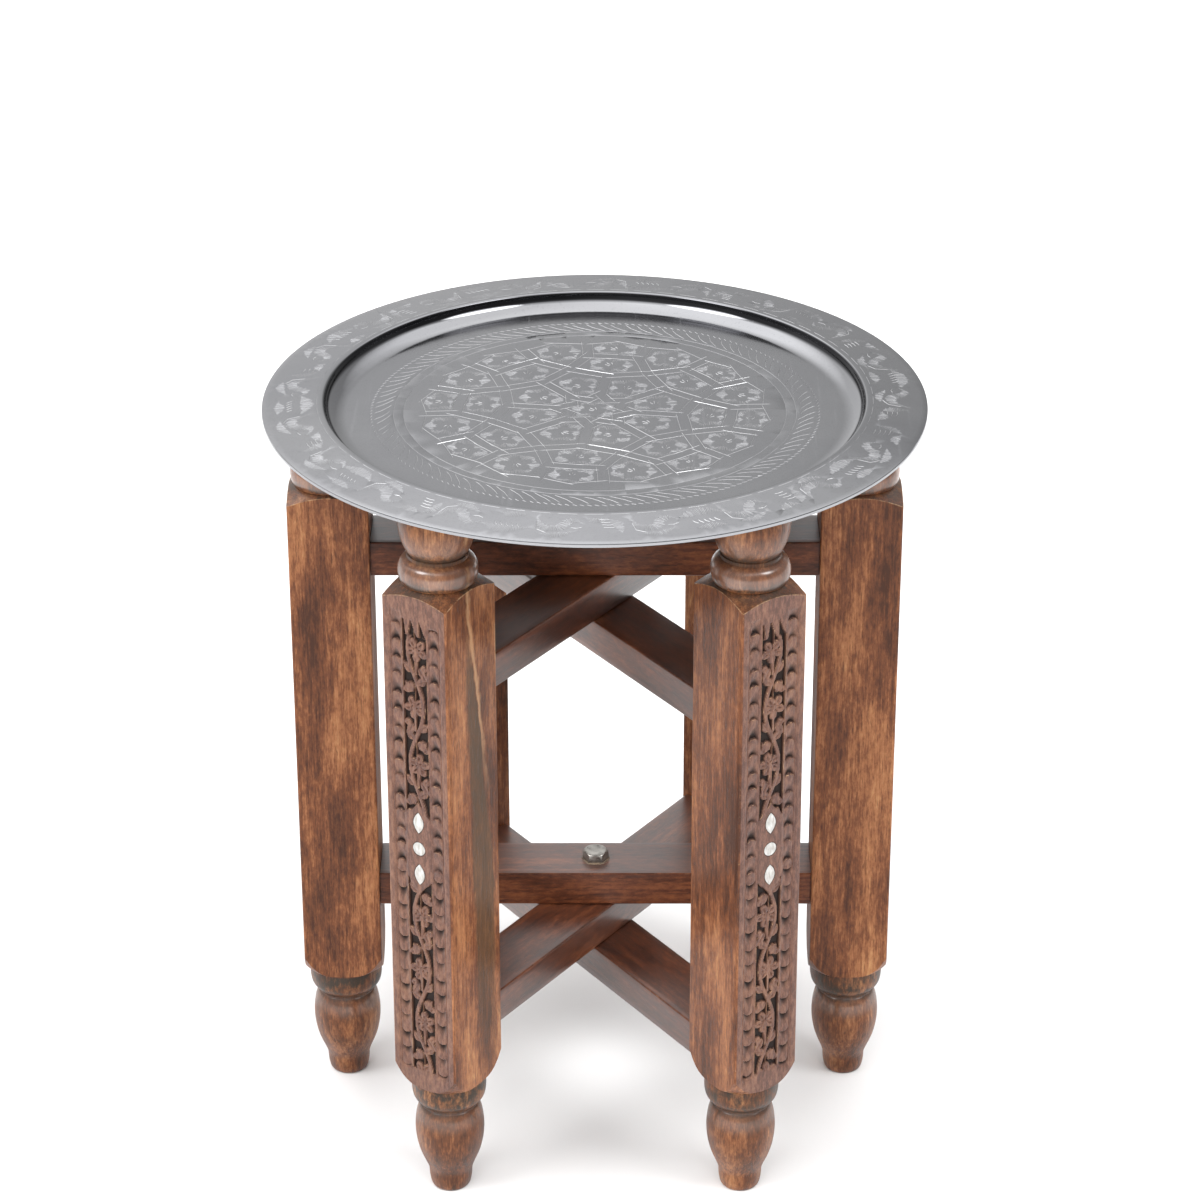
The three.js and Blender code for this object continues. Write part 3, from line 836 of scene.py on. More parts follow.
def leg_grid(name):
    """A leg standing at the origin, as a grid of points row by row from the ground up."""
    section, face = eased_section(LEG_HALF_RADIAL, LEG_HALF_TANGENTIAL, LEG_ARRIS, LEG_COLUMNS)
    reach = np.hypot(section[:, 0], section[:, 1])
    outward = section / reach[:, None]
    columns = len(section)
    low, high = foot_arc(reach), head_arc(reach)
    rows = []
    for radius, height in foot_line():
        rows.append((outward * radius, np.full(columns, height), "round"))
    for share in (0.2, 0.4, 0.6, 0.8, 0.93):
        height = BLOCK_BOTTOM + (low - BLOCK_BOTTOM) * share
        spread = np.sqrt((height - BLOCK_BOTTOM) / FOOT_SHOULDER)
        radius = COLLAR_RADIUS + (CORNER_RADIUS - COLLAR_RADIUS) * spread
        rows.append((outward * np.minimum(radius, reach)[:, None], height, "shoulder"))
    for share in block_levels():
        rows.append((section.copy(), low + (high - low) * share, "block"))
    for share in (0.06, 0.2, 0.45, 0.7, 0.9, 1.0):
        height = high + (BLOCK_TOP + TOP_SHOULDER - high) * share
        radius = CORNER_RADIUS - (CORNER_RADIUS - SHOULDER_NECK) * (height - BLOCK_TOP) / TOP_SHOULDER
        rows.append((outward * radius[:, None], height, "shoulder"))
    for radius, height in head_line():
        rows.append((outward * radius, np.full(columns, height), "round"))
    flat = np.concatenate([row[0] for row in rows])
    height = np.concatenate([row[1] for row in rows])
    zone = np.repeat([row[2] for row in rows], columns)
    count = len(rows)
    return flat, height, zone, np.tile(face, count), np.tile(section, (count, 1)), count, columns


def edge_wear(section, height, zone, reach):
    """How exposed each point is to rubbing: the long arrises, and the block's end arcs."""
    across = np.abs(section)
    corner = np.maximum(LEG_HALF_RADIAL - across[:, 0], LEG_HALF_TANGENTIAL - across[:, 1])
    arris = np.where(zone == "block", 0.86 - 0.86 * smooth_step(0.4, 2.4, corner), 0.0)
    top_edge = 1.0 - smooth_step(0.2, 1.3, np.abs(height - head_arc(reach)))
    low_edge = 1.0 - smooth_step(0.2, 1.3, np.abs(height - foot_arc(reach)))
    ends = np.where(zone == "round", 0.0, np.maximum(top_edge * 1.02, low_edge * 0.9))
    return np.maximum(arris, ends)


def soot_and_shade_layer(flat, height, zone):
    """Where dark wax has gathered, with painted shade: the collars, the grooves, the lower parts of the bead
    and cup, and the shoulder under the bead.
    """
    radius = np.hypot(flat[:, 0], flat[:, 1])
    collar = smooth_step(78.0, 80.0, height) * (1.0 - smooth_step(99.0, 102.5, height))
    vase = (0.26 + 0.34 * smooth_step(54.0, 74.0, height)) * (height < 79.0)
    bead = (0.9 - 0.5 * smooth_step(529.0, 537.0, height)) * (height > 527.0) * (height < 548.0)
    cup = (0.8 - 0.5 * smooth_step(550.0, 562.0, height)) * (height > 546.0)
    turned = np.where(zone == "round", np.maximum.reduce([collar, vase, bead, cup]), 0.0)
    dish = 0.95 - 0.55 * smooth_step(25.0, 38.0, radius)
    return np.maximum(turned, np.where((zone == "shoulder") & (height > MIDWAY_UP), dish, 0.0))


def polish_layer(height, zone):
    """Where the turned parts are polished: the bead, the cup's foot and the top of the vase."""
    bead = smooth_step(528.0, 532.0, height) * (1.0 - smooth_step(543.0, 546.0, height))
    cup = smooth_step(548.0, 552.0, height) * (1.0 - smooth_step(560.0, 576.0, height)) * 0.5
    vase = smooth_step(58.0, 68.0, height) * (1.0 - smooth_step(75.0, 78.0, height)) * 0.7
    shoulder = np.where((zone == "shoulder") & (height > MIDWAY_UP), 0.35, 0.0)
    return np.where(zone == "round", np.maximum.reduce([bead, cup, vase]), shoulder)


def cut_rims(depth, row_count, columns):
    """Surface points right beside a deep cut, where the carving's edges are rubbed."""
    grid = depth.reshape(row_count, columns)
    deepest = grid.copy()
    for shift in (1, -1):
        deepest = np.maximum(deepest, np.roll(grid, shift, axis=0))
        deepest = np.maximum(deepest, np.roll(grid, shift, axis=1))
    step = np.clip((deepest - grid - 0.5) / 1.0, 0.0, 1.0) * (grid < 0.9)
    return step.reshape(-1)


def filler_patch(section, height):
    """Pale filler beside the upper crossbar, on one back arris."""
    on_arris = (section[:, 0] < -LEG_HALF_RADIAL + 3.0) & (section[:, 1] > LEG_HALF_TANGENTIAL - 3.0)
    return on_arris * smooth_step(448.0, 454.0, height) * smooth_step(492.0, 484.0, height) * 1.15


def make_leg(name, material):
    """One leg: its turned ends, its block and its carved face."""
    flat, height, zone, face, section, row_count, columns = leg_grid(name)
    reach = np.hypot(section[:, 0], section[:, 1])
    radius = np.hypot(flat[:, 0], flat[:, 1])
    carved = (face == 0) & (zone == "block")
    depth = np.zeros(len(flat))
    depth[carved] = carving_depth(section[carved, 1], height[carved], name)
    near_inlay = inlay_reach(section[:, 1], height)
    depth[carved & (near_inlay < -0.5)] = 0.6
    points = np.column_stack([flat, height])
    wobble = ripple(points, 40 + len(name) + int(LEG_TURN[name]), 34.0) * 0.16
    points[:, :2] += flat / radius[:, None] * wobble[:, None]
    points[:, 0] -= depth
    worn = edge_wear(section, height, zone, reach)
    if name == "b_front":
        worn = np.maximum(worn, filler_patch(section, height))
    # Painted shade with dirt: the narrow necks of the turnings and the deep cuts are darkened.
    neck_dirt_and_shade = np.where(zone == "round", smooth_step(24.2, 22.6, radius) * (height > 60.0), 0.0)
    layers = {
        "grain": points * MM,
        "worn": np.maximum(worn, cut_rims(depth, row_count, columns) * 1.1),
        "hollow_dirt_and_shade": np.maximum(smooth_step(0.4, STRIP_DEPTH * 0.97, depth), neck_dirt_and_shade * 0.6),
        "carved": carved * 0.85,
        "grime": carved * (np.abs(near_inlay - 0.1) < 0.55) * 1.0,
        "soot_and_shade": soot_and_shade_layer(flat, height, zone),
        "polish": polish_layer(height, zone),
    }
    for key, value in layers.items():
        layers[key] = np.concatenate([value, np.zeros((2,) + value.shape[1:])])
    points = np.vstack([points, [[0.0, 0.0, height.min()], [0.0, 0.0, height.max()]]])
    points[:, 0] += LEG_CIRCLE
    points = turn_about_axis(points, LEG_TURN[name])
    faces = capped_tube(row_count, columns)
    piece_name = "carved_leg_" + name
    return make_piece(piece_name, points, faces, "frame_" + name[0], material,
                      ["leg_" + name], layers, 38.0)


# ---------------------------------------------------------------- inlays


def inlay_outline(place):
    """The outline of one inlay in its face, as [across, up]."""
    if place == "dot":
        turns = np.linspace(0, 2 * math.pi, 40, endpoint=False)
        return np.stack([DOT_RADIUS * np.cos(turns), DOT_RADIUS * np.sin(turns)], axis=-1)
    share = np.linspace(0.0, 1.0, 20, endpoint=False)
    up = np.column_stack([2 * LEAF_WIDTH * share * (1 - share), (share - 0.5) * LEAF_LENGTH])
    return np.vstack([up, -up])


def make_inlay(leg, place, material):
    """One crowned shell inlay, let into the carved face."""
    outline = inlay_outline(place)
    columns = len(outline)
    crown = ((1.0, -1.4), (1.0, 0.0), (0.985, 0.12), (0.93, 0.24), (0.75, 0.36), (0.45, 0.46), (0.2, 0.5))
    rows = []
    for share, out in crown:
        rows.append(np.column_stack([np.full(columns, LEG_HALF_RADIAL + out), outline * share]))
    hubs = [[LEG_HALF_RADIAL - 1.4, 0, 0], [LEG_HALF_RADIAL + 0.51, 0, 0]]
    points = np.vstack(rows + [hubs])
    points[:, 2] += INLAY_CENTRE + {"top": INLAY_PITCH, "dot": 0.0, "bottom": -INLAY_PITCH}[place]
    points[:, 0] += LEG_CIRCLE
    points = turn_about_axis(points, LEG_TURN[leg])
    name = leg + "_" + place
    faces = capped_tube(len(rows), columns)
    return make_piece("shell_" + name, points, faces, "frame_" + leg[0], material,
                      ["inlay_" + name], sharp=40.0)


# ---------------------------------------------------------------- crossbars

BAR_TOPS = {
    ("a", "upper"): 486.2,
    ("b", "upper"): 457.6,
    ("c", "upper"): 429.0,
    ("a", "lower"): 195.4,
    ("b", "lower"): 166.8,
    ("c", "lower"): 138.2,
}
BOLT_HOLE = 6.5


def make_bar(letter, level, material):
    """One crossbar of a frame, with hand-planed sides and its bolt hole."""
    section, _ = eased_section(BAR_WIDTH / 2, BAR_HEIGHT / 2, BAR_ARRIS, (6, 10, 6, 10))
    columns = len(section)
    stations = np.linspace(-BAR_HALF_LENGTH, BAR_HALF_LENGTH, 70)
    points = np.vstack([np.column_stack([np.full(columns, x), section]) for x in stations])
    seed = 7 + "abc".index(letter) * 5 + (level == "upper") * 31
    wobble = ripple(points, seed, 40.0) * 0.22
    corner = np.maximum(BAR_WIDTH / 2 - np.abs(points[:, 1]), BAR_HEIGHT / 2 - np.abs(points[:, 2]))
    points[:, 1] -= np.sign(points[:, 1]) * np.abs(wobble) * 0.8
    points = np.vstack([points, [[stations[0], 0, 0], [stations[-1], 0, 0]]])
    layers = {
        "grain": points[:, [1, 2, 0]] * MM,
        "worn": np.append(1.0 - smooth_step(0.5, 2.2, corner), [0, 0]),
    }
    faces = capped_tube(len(stations), columns)
    points[:, 2] += BAR_TOPS[(letter, level)] - BAR_HEIGHT / 2
    points = turn_about_axis(points, FRAME_TURN[letter])
    name = letter + "_" + level
    piece = make_piece("crossbar_" + name, points, faces, "frame_" + letter, material,
                       ["bar_" + name], layers, 38.0)
    bore_bar(piece)
    return piece


def bore_bar(piece):
    """Cuts the upright bolt hole through a bar."""
    bpy.ops.mesh.primitive_cylinder_add(vertices=40, radius=BOLT_HOLE * MM, depth=2.0)
    cutter = bpy.context.object
    cut = piece.modifiers.new("bolt_hole", "BOOLEAN")
    cut.operation = "DIFFERENCE"
    cut.solver = "EXACT"
    cut.object = cutter
    bpy.context.view_layer.update()
    graph = bpy.context.evaluated_depsgraph_get()
    bored = bpy.data.meshes.new_from_object(piece.evaluated_get(graph))
    piece.modifiers.remove(cut)
    piece.data = bored
    bpy.data.objects.remove(cutter)


# ---------------------------------------------------------------- bolts

ACROSS_FLATS = 18.0
HEX_CORNER = ACROSS_FLATS / math.sqrt(3) + 1.0  # a little beyond the hexagon's corners
HEAD_HEIGHT = 7.5
HEX_COLUMNS = 48


def hexagon_reach(turns):
    """Distance from the middle to a hexagon's side at each turn; corners at 0, 60, 120 degrees."""
    folded = (turns % (math.pi / 3)) - math.pi / 6
    return ACROSS_FLATS / 2 / np.cos(folded)


def turned_rows(profile, hexagonal=()):
    """Points of a piece turned about the stand's axis; rows named in hexagonal follow a hexagon."""
    turns = np.linspace(0, 2 * math.pi, HEX_COLUMNS, endpoint=False)
    rows = []
    for index, (radius, height) in enumerate(profile):
        reach = np.full(HEX_COLUMNS, float(radius))
        if index in hexagonal:
            reach = np.minimum(hexagon_reach(turns), radius)
        level = np.full(HEX_COLUMNS, height)
        rows.append(np.column_stack([reach * np.cos(turns), reach * np.sin(turns), level]))
    return np.vstack(rows)


def make_bolt(level, material):
    """A bolt with a chamfered hexagonal head and a coarse thread at its lower end."""
    low, high = box_mm("pivot_bolt_" + level)
    seat = high[2] - HEAD_HEIGHT
    thread = []
    for k, height in enumerate(np.arange(low[2] + 0.6, low[2] + 18.0, 0.45)):
        thread.append((5.95 if k % 4 in (1, 2) else 5.2, height))
    shank = [(4.6, low[2])] + thread + [(6.0, low[2] + 18.4), (6.0, seat)]
    head = [(HEX_CORNER, seat)]
    for radius, rise in ((HEX_CORNER, 5.9), (10.1, 6.35), (9.6, 6.75), (9.1, 7.1), (8.5, 7.35), (7.4, 7.5)):
        head.append((radius, seat + rise))
    profile = shank + head
    points = turned_rows(profile, range(len(shank), len(profile)))
    points = np.vstack([points, [[0, 0, low[2]], [0, 0, high[2]]]])
    faces = capped_tube(len(profile), HEX_COLUMNS)
    return make_piece("bolt_" + level, points, faces, "frame_a", material,
                      ["pivot_bolt_" + level], sharp=25.0)


def make_washer(level, material):
    low, high = box_mm("pivot_washer_" + level)
    profile = [(6.3, low[2]), (11.6, low[2]), (12.0, low[2] + 0.4), (12.0, high[2] - 0.4), (11.6, high[2]),
               (6.3, high[2]), (6.3, low[2])]
    points = turned_rows(profile)
    return make_loop("washer_" + level, points, material, ["pivot_washer_" + level])


def make_nut(level, material):
    low, high = box_mm("pivot_nut_" + level)
    profile = [(6.3, low[2]), (8.4, low[2]), (9.4, low[2] + 0.4), (HEX_CORNER, low[2] + 1.1),
               (HEX_CORNER, high[2] - 1.1), (9.4, high[2] - 0.4), (8.4, high[2]), (6.3, high[2]),
               (6.3, low[2])]
    points = turned_rows(profile, (2, 3, 4, 5))
    return make_loop("nut_" + level, points, material, ["pivot_nut_" + level])


def make_loop(name, points, material, nodes=()):
    """A ring-shaped piece of frame a, whose last row lies on its first."""
    rows = len(points) // HEX_COLUMNS
    last = (rows - 1) * HEX_COLUMNS
    faces = ring_faces(rows, HEX_COLUMNS)
    faces = np.where(faces >= last, faces - last, faces)
    return make_piece(name, points[:last], faces, "frame_a", material, nodes, sharp=25.0)


def make_wax_ring(level, material):
    """An uneven smear of wax where the bolt's head meets the bar."""
    bar_top = box_mm("pivot_bolt_" + level)[1][2] - HEAD_HEIGHT - 0.3
    turns = np.linspace(0, 2 * math.pi, HEX_COLUMNS, endpoint=False)
    chance = np.random.RandomState(5 + len(level))
    spread = 1.0 + 0.12 * np.sin(turns * 3 + 1.0) + 0.10 * np.sin(turns * 7 + chance.uniform(0, 6))
    head = hexagon_reach(turns) + 0.12
    smear = ((0.0, 0.02), (1.2, 0.02), (1.05, 0.2), (0.7, 0.45), (0.35, 0.6), (0.0, 0.7), (0.0, 0.02))
    rows = []
    for out, rise in smear:
        reach = np.maximum(head * 0.6 + 4.0 + out * spread, head) if out > 0 else head
        level_up = np.full(HEX_COLUMNS, bar_top + rise)
        rows.append(np.column_stack([reach * np.cos(turns), reach * np.sin(turns), level_up]))
    return make_loop("wax_ring_" + level, np.vstack(rows), material)


# ---------------------------------------------------------------- tray engraving


class Engraving:
    """Graver strokes on a flat sheet: each is a V-shaped groove that runs out at both ends."""

    def __init__(self):
        self.strokes = []

    def stroke(self, line, half=0.45, deep=0.26, taper=2.2):
        line = np.asarray(line, dtype=float)
        if len(line) < 2:
            return
        self.strokes.append((line, half, deep, taper))

    def outline_points(self):
        """Points and edges of every stroke's middle line and two sides."""
        points, edges = [], []
        for line, half, deep, taper in self.strokes:
            line = with_tapers(line, taper)
            step = np.gradient(line, axis=0)
            step /= np.maximum(np.linalg.norm(step, axis=1), 1e-9)[:, None]
            across = np.column_stack([-step[:, 1], step[:, 0]])
            first = len(points)
            count = len(line)
            points.extend(line.tolist())
            edges.extend((first + k, first + k + 1) for k in range(count - 1))
            for side in (half, -half):
                base = len(points)
                points.extend((line[1:-1] + across[1:-1] * side).tolist())
                chain = [first] + [base + k for k in range(count - 2)] + [first + count - 1]
                edges.extend(zip(chain[:-1], chain[1:]))
        return points, edges

    def depth_at(self, spots):
        """How deep the sheet is cut at each spot, in mm, and the deepest stroke's share."""
        depth = np.zeros(len(spots))
        for line, half, deep, taper in self.strokes:
            low, high = line.min(axis=0) - half, line.max(axis=0) + half
            near = np.nonzero(np.all((spots >= low) & (spots <= high), axis=1))[0]
            if not len(near):
                continue
            steps = np.linalg.norm(np.diff(line, axis=0), axis=1)
            total = steps.sum()
            run = 0.0
            best = np.zeros(len(near))
            for start, end, length in zip(line[:-1], line[1:], steps):
                share = ((spots[near] - start) @ (end - start)) / max(length**2, 1e-12)
                share = np.clip(share, 0.0, 1.0)
                gap = np.linalg.norm(spots[near] - start - share[:, None] * (end - start), axis=1)
                at = run + share * length
                ease = np.clip(np.minimum(at, total - at) / min(taper, total / 2), 0.0, 1.0)
                best = np.maximum(best, deep * np.clip(ease - gap / half, 0.0, 1.0))
                run += length
            depth[near] = np.maximum(depth[near], best)
        return depth


def with_tapers(line, taper):
    """The line with a point added near each end, where the groove reaches its full width."""
    places = walk(line)
    total = places[-1]
    taper = min(taper, total * 0.45)
    inner = [p for p in places[1:-1] if taper * 1.3 < p < total - taper * 1.3]
    wanted = np.array([0.0, taper] + inner + [total - taper, total])
    return np.column_stack([np.interp(wanted, places, line[:, k]) for k in (0, 1)])


ROSETTE_TURN = 14.5
HATCH_HALF = 0.30
HATCH_DEEP = 0.08
FULL_CUT = 0.24  # depth of a stroke that is fully bright
FEATHERS = 104
CHAIN_LINKS = 200
SCROLLS = 41


def left_of(step):
    """A flat direction a quarter turn to the left of another."""
    return np.array([-step[1], step[0]])


def walk(line):
    """How far along a line each of its points lies."""
    steps = np.linalg.norm(np.diff(line, axis=0), axis=1)
    return np.concatenate([[0.0], np.cumsum(steps)])


def rosette_cells():
    """The cells of the eight-fold rosette, each a list of corners."""
    cells = []
    star = []
    for k in range(8):
        axis = ROSETTE_TURN + 45.0 * k
        star += [polar(20, axis), polar(30, axis + 22.5)]
        petal = [(20, 0), (30, 22.5), (66, 22.5), (80, 0), (66, -22.5), (30, -22.5)]
        kite = [(66, 22.5), (80, 0), (104, 11.5), (103, 22.5), (104, 33.5), (80, 45)]
        near = [(80, 0), (104, 11.5), (131, 11.5), (137, 0), (131, -11.5), (104, -11.5)]
        far = [(103, 22.5), (104, 11.5), (131, 11.5), (137, 22.5), (131, 33.5), (104, 33.5)]
        for corners in (petal, kite, near, far):
            cells.append(np.array([polar(radius, axis + turn) for radius, turn in corners]))
    return [np.array(star)] + cells


def inset_polygon(corners, inset):
    """A polygon whose sides are moved inwards."""
    after = np.roll(corners, -1, axis=0)
    if np.sum(corners[:, 0] * after[:, 1] - after[:, 0] * corners[:, 1]) < 0:
        corners = corners[::-1]
    lines = []
    for start, end in zip(corners, np.roll(corners, -1, axis=0)):
        step = (end - start) / np.linalg.norm(end - start)
        lines.append((start + left_of(step) * inset, step))
    moved = []
    for (p, d), (q, e) in zip(lines[-1:] + lines[:-1], lines):
        cross = d[0] * e[1] - d[1] * e[0]
        if abs(cross) < 1e-6:
            moved.append(q)
            continue
        share = ((q - p)[0] * e[1] - (q - p)[1] * e[0]) / cross
        moved.append(p + d * share)
    return np.array(moved)


def cell_reach(corners, middle, angle):
    """How far a cell's outline lies from its middle in one direction."""
    way = np.array([math.cos(angle), math.sin(angle)])
    best = 1e9
    for start, end in zip(corners - middle, np.roll(corners, -1, axis=0) - middle):
        side = end - start
        cross = way[0] * side[1] - way[1] * side[0]
        if abs(cross) < 1e-9:
            continue
        out = (start[0] * side[1] - start[1] * side[0]) / cross
        along = (start[0] * way[1] - start[1] * way[0]) / cross
        if out > 0 and -1e-6 <= along <= 1 + 1e-6:
            best = min(best, out)
    return best


def cell_outline(work, inner, chance):
    """Straight cuts along a cell's sides, each running on past the corners."""
    for start, end in zip(inner, np.roll(inner, -1, axis=0)):
        step = (end - start) / np.linalg.norm(end - start)
        before, after = chance.uniform(0.4, 3.0), chance.uniform(4.5, 9.0)
        waver = left_of(step) * chance.uniform(-0.35, 0.35)
        line = [start - step * before, (start + end) / 2 + waver, end + step * after]
        work.stroke(line, chance.uniform(0.22, 0.32), chance.uniform(0.17, 0.27))


def cell_hatching(work, inner, middle, chance):
    """Close short cuts that point at a cell's middle and leave a leaf-shaped field plain."""
    turn = chance.uniform(0.0, 0.3)
    phase = chance.uniform(0.0, 6.0)
    while turn < 2 * math.pi:
        reach = min(cell_reach(inner, middle, turn), 18.5)
        outer = reach * (0.92 - 0.07 * math.sin(turn * 7 + phase)) - 0.4
        inside = reach * (0.60 + 0.13 * math.sin(turn * 5 + phase) + chance.uniform(-0.06, 0.06))
        way = np.array([math.cos(turn), math.sin(turn)])
        if outer - inside > 1.5:
            bend = middle + way * (inside + outer) / 2 + left_of(way) * chance.uniform(-0.4, 0.4)
            tip = middle + way * outer + left_of(way) * chance.uniform(-0.6, 0.6)
            deep = HATCH_DEEP * chance.uniform(0.7, 1.4)
            work.stroke([middle + way * inside, bend, tip], HATCH_HALF, deep, 0.8)
        turn += 1.15 / max(reach * 0.74, 3.0)


def engrave_cell(work, corners, chance):
    """A cell's outline, its hatched ring and the plain leaf in its middle."""
    inner = inset_polygon(corners, 4.2)
    middle = inner.mean(axis=0)
    cell_outline(work, inner, chance)
    cell_hatching(work, inner, middle, chance)
    lean = chance.uniform(0, 2 * math.pi)
    size = min(cell_reach(inner, middle, lean), 13.0)
    root = middle - np.array([math.cos(lean), math.sin(lean)]) * size * 0.24
    for k, length in ((-1, 0.36), (0, 0.44), (1, 0.36)):
        way = np.array([math.cos(lean + k * 0.7), math.sin(lean + k * 0.7)])
        tip = middle + way * size * length
        bend = (tip + root) / 2 + left_of(way) * 0.10 * size * k
        work.stroke([root * 0.65 + tip * 0.35, bend * 0.4 + tip * 0.6, tip], 0.34, 0.26, 0.9)


def engrave_ring(work, radius, segments, half, deep, chance, gap=0.0, waver=0.15):
    """A line round the tray, cut as a chain of slightly curved strokes."""
    for k in range(segments):
        start = 360.0 * k / segments + gap
        end = 360.0 * (k + 1) / segments - gap
        shift = chance.uniform(-waver, waver)
        line = [polar(radius + shift, start + (end - start) * share) for share in (0.0, 0.5, 1.0)]
        work.stroke(line, half, deep * chance.uniform(0.7, 1.2), 1.2)


def engrave_floor():
    """Everything cut into the flat floor of the well: the rosette, the feather ring and its chain."""
    chance = random.Random("floor engraving")
    work = Engraving()
    for corners in rosette_cells():
        engrave_cell(work, corners, chance)
    for radius in (144.0, 151.5):
        engrave_ring(work, radius, 40, 0.22, 0.09, chance, -0.3)
    for k in range(FEATHERS):
        angle = 360.0 * k / FEATHERS + chance.uniform(-0.6, 0.6)
        start = 153.0 + chance.uniform(-1.0, 1.5)
        end = 166.6 + chance.uniform(-1.5, 0.3)
        line = [(start, 0.0), (156.0, 1.9), (160.0, 4.0), (end, 6.0)]
        line = [polar(radius, angle + turn) for radius, turn in line]
        work.stroke(line, 0.28, chance.uniform(0.12, 0.24), 2.4)
    for k in range(CHAIN_LINKS):
        angle = 360.0 * k / CHAIN_LINKS + chance.uniform(-0.1, 0.1)
        line = [polar(radius, angle + turn) for radius, turn in ((167.4, 0.0), (168.6, 0.75), (169.6, 1.35))]
        work.stroke(line, 0.28, chance.uniform(0.12, 0.26), 0.8)
    return work


def hatched_band(work, centre, widths, chance, step=1.15):
    """Close cross strokes along a curved middle line, to the given width at each of its points."""
    places = walk(centre)

    def at(place):
        place = min(max(place, 0.0), places[-1])
        return np.array([np.interp(place, places, centre[:, axis]) for axis in (0, 1)])

    for k in range(int(places[-1] / step) + 1):
        place = min(places[-1], k * step)
        spot = at(place)
        way = at(place + 0.5) - at(place - 0.5)
        way /= max(np.linalg.norm(way), 1e-6)
        half = np.interp(place, places, widths)
        low, high = half * chance.uniform(0.75, 1.2), half * chance.uniform(0.75, 1.2)
        if half < 0.8:
            continue
        slant = way * chance.uniform(0.1, 0.6)
        line = [spot - left_of(way) * low - slant, spot + slant * 0.3, spot + left_of(way) * high]
        work.stroke(line, HATCH_HALF, HATCH_DEEP * chance.uniform(0.6, 1.4), 0.9)


def engrave_scroll(work, radius, degrees, kind, chance):
    """One motif of the rim's leaf scroll: a curled hatched leaf, an upright leaf or a group of dashes."""
    flip = 1.0 if chance.random() < 0.5 else -1.0

    def spot(along, out):
        return polar(radius + out, degrees + math.degrees(along / radius))

    def band(path, wide):
        line = cut_corners([spot(s, t * flip) for s, t in path], 2)
        share = np.linspace(0.0, 1.0, len(line))
        swell = np.interp(share, [0, 0.2, 0.5, 0.8, 1.0], [0.3, 0.9, 1.0, 0.8, 0.2])
        hatched_band(work, line, swell * wide, chance)

    def cut(path, half, deep, taper):
        work.stroke([spot(s, t) for s, t in path], half, deep, taper)

    if kind == 0:
        band([(-17, -10), (-13, 1), (-5, 5), (2, 2), (5, -6), (12, -9), (18, -3)], 4.6)
        band([(-10, 12), (0, 13.5), (12, 7)], 3.8)
        cut([(-16.5, -4.5 * flip), (-14.5, 6.0 * flip), (-7.0, 10.5 * flip)], 0.3, 0.2, 1.8)
        cut([(8.0, 1.5 * flip), (12.5, 2.5 * flip), (17.5, 0.5 * flip)], 0.3, 0.22, 1.8)
    elif kind == 1:
        band([(-16, -6), (-6, -9.5), (6, -10), (16, -5)], 5.2)
        for along in (-9.0, -5.0, -1.0, 3.0, 7.0):
            cut([(along, 0.5), (along + 1.2, 3.5), (along + 3.2, 5.8)], 0.32, 0.24, 1.2)
        band([(-8, 11.5), (2, 10.5), (12, 12.5)], 4.2)
    else:
        for k in range(4):
            out = -10.0 + 3.6 * k
            cut([(-5.0 + k, out), (k, out + 0.7), (4.0 + k, out + 0.2)], 0.32, 0.22, 1.2)
        band([(-13, 11), (-6, 7), (2, 10.5)], 4.0)
        band([(5, 9), (10, 2), (11, -9)], 4.2)


def engrave_rim():
    """Everything cut into the sloping rim."""
    chance = random.Random("rim engraving")
    work = Engraving()
    engrave_ring(work, 208.8, 70, 0.24, 0.14, chance, 0.5, 0.12)
    for k in range(SCROLLS):
        degrees = 360.0 * k / SCROLLS + chance.uniform(-0.5, 0.5)
        kind = (0, 1, 0, 2)[k % 4] if k < SCROLLS - 1 else 2
        engrave_scroll(work, 226.0, degrees, kind, chance)
    return work


def circle_points(radius, count=TRAY_TURNS):
    turns = np.linspace(0, 2 * math.pi, count, endpoint=False)
    return np.stack([radius * np.cos(turns), radius * np.sin(turns)], axis=-1)


def engraved_sheet(work, inner, outer, helper_rings=()):
    """A triangulated ring or disc whose mesh follows every stroke. Returns spots, depths, faces."""
    points, edges = work.outline_points()
    for radius in [r for r in (inner, outer) if r > 0]:
        base = len(points)
        points.extend(circle_points(radius).tolist())
        edges.extend((base + k, base + (k + 1) % TRAY_TURNS) for k in range(TRAY_TURNS))
    for radius in helper_rings:
        points.extend(circle_points(radius, TRAY_TURNS // 2).tolist())
    spots = [Vector(p) for p in points]
    found = delaunay_2d_cdt(spots, edges, [], 0, 1e-4, False)
    flat = np.array([(v.x, v.y) for v in found[0]])
    faces = np.array([list(f) for f in found[2]])
    middles = flat[faces].mean(axis=1)
    distance = np.hypot(middles[:, 0], middles[:, 1])
    limit = inner * math.cos(math.pi / TRAY_TURNS) if inner > 0 else -1.0
    faces = faces[distance > limit]
    area = np.cross(flat[faces[:, 1]] - flat[faces[:, 0]], flat[faces[:, 2]] - flat[faces[:, 0]])
    faces = np.where((area < 0)[:, None], faces[:, ::-1], faces)
    depth = work.depth_at(flat)
    radius = np.hypot(flat[:, 0], flat[:, 1])
    on_edge = (np.abs(radius - inner) < 0.02) | (np.abs(radius - outer) < 0.02)
    return flat, np.where(on_edge, 0.0, depth), faces


def rim_height(radius):
    """Height of the sloping rim's upper face."""
    share = (radius - WELL_RADIUS) / (TRAY_RADIUS - WELL_RADIUS)
    return TABLE_TOP - RIM_DROP * share


RIM_EDGE = TRAY_RADIUS - 1.0


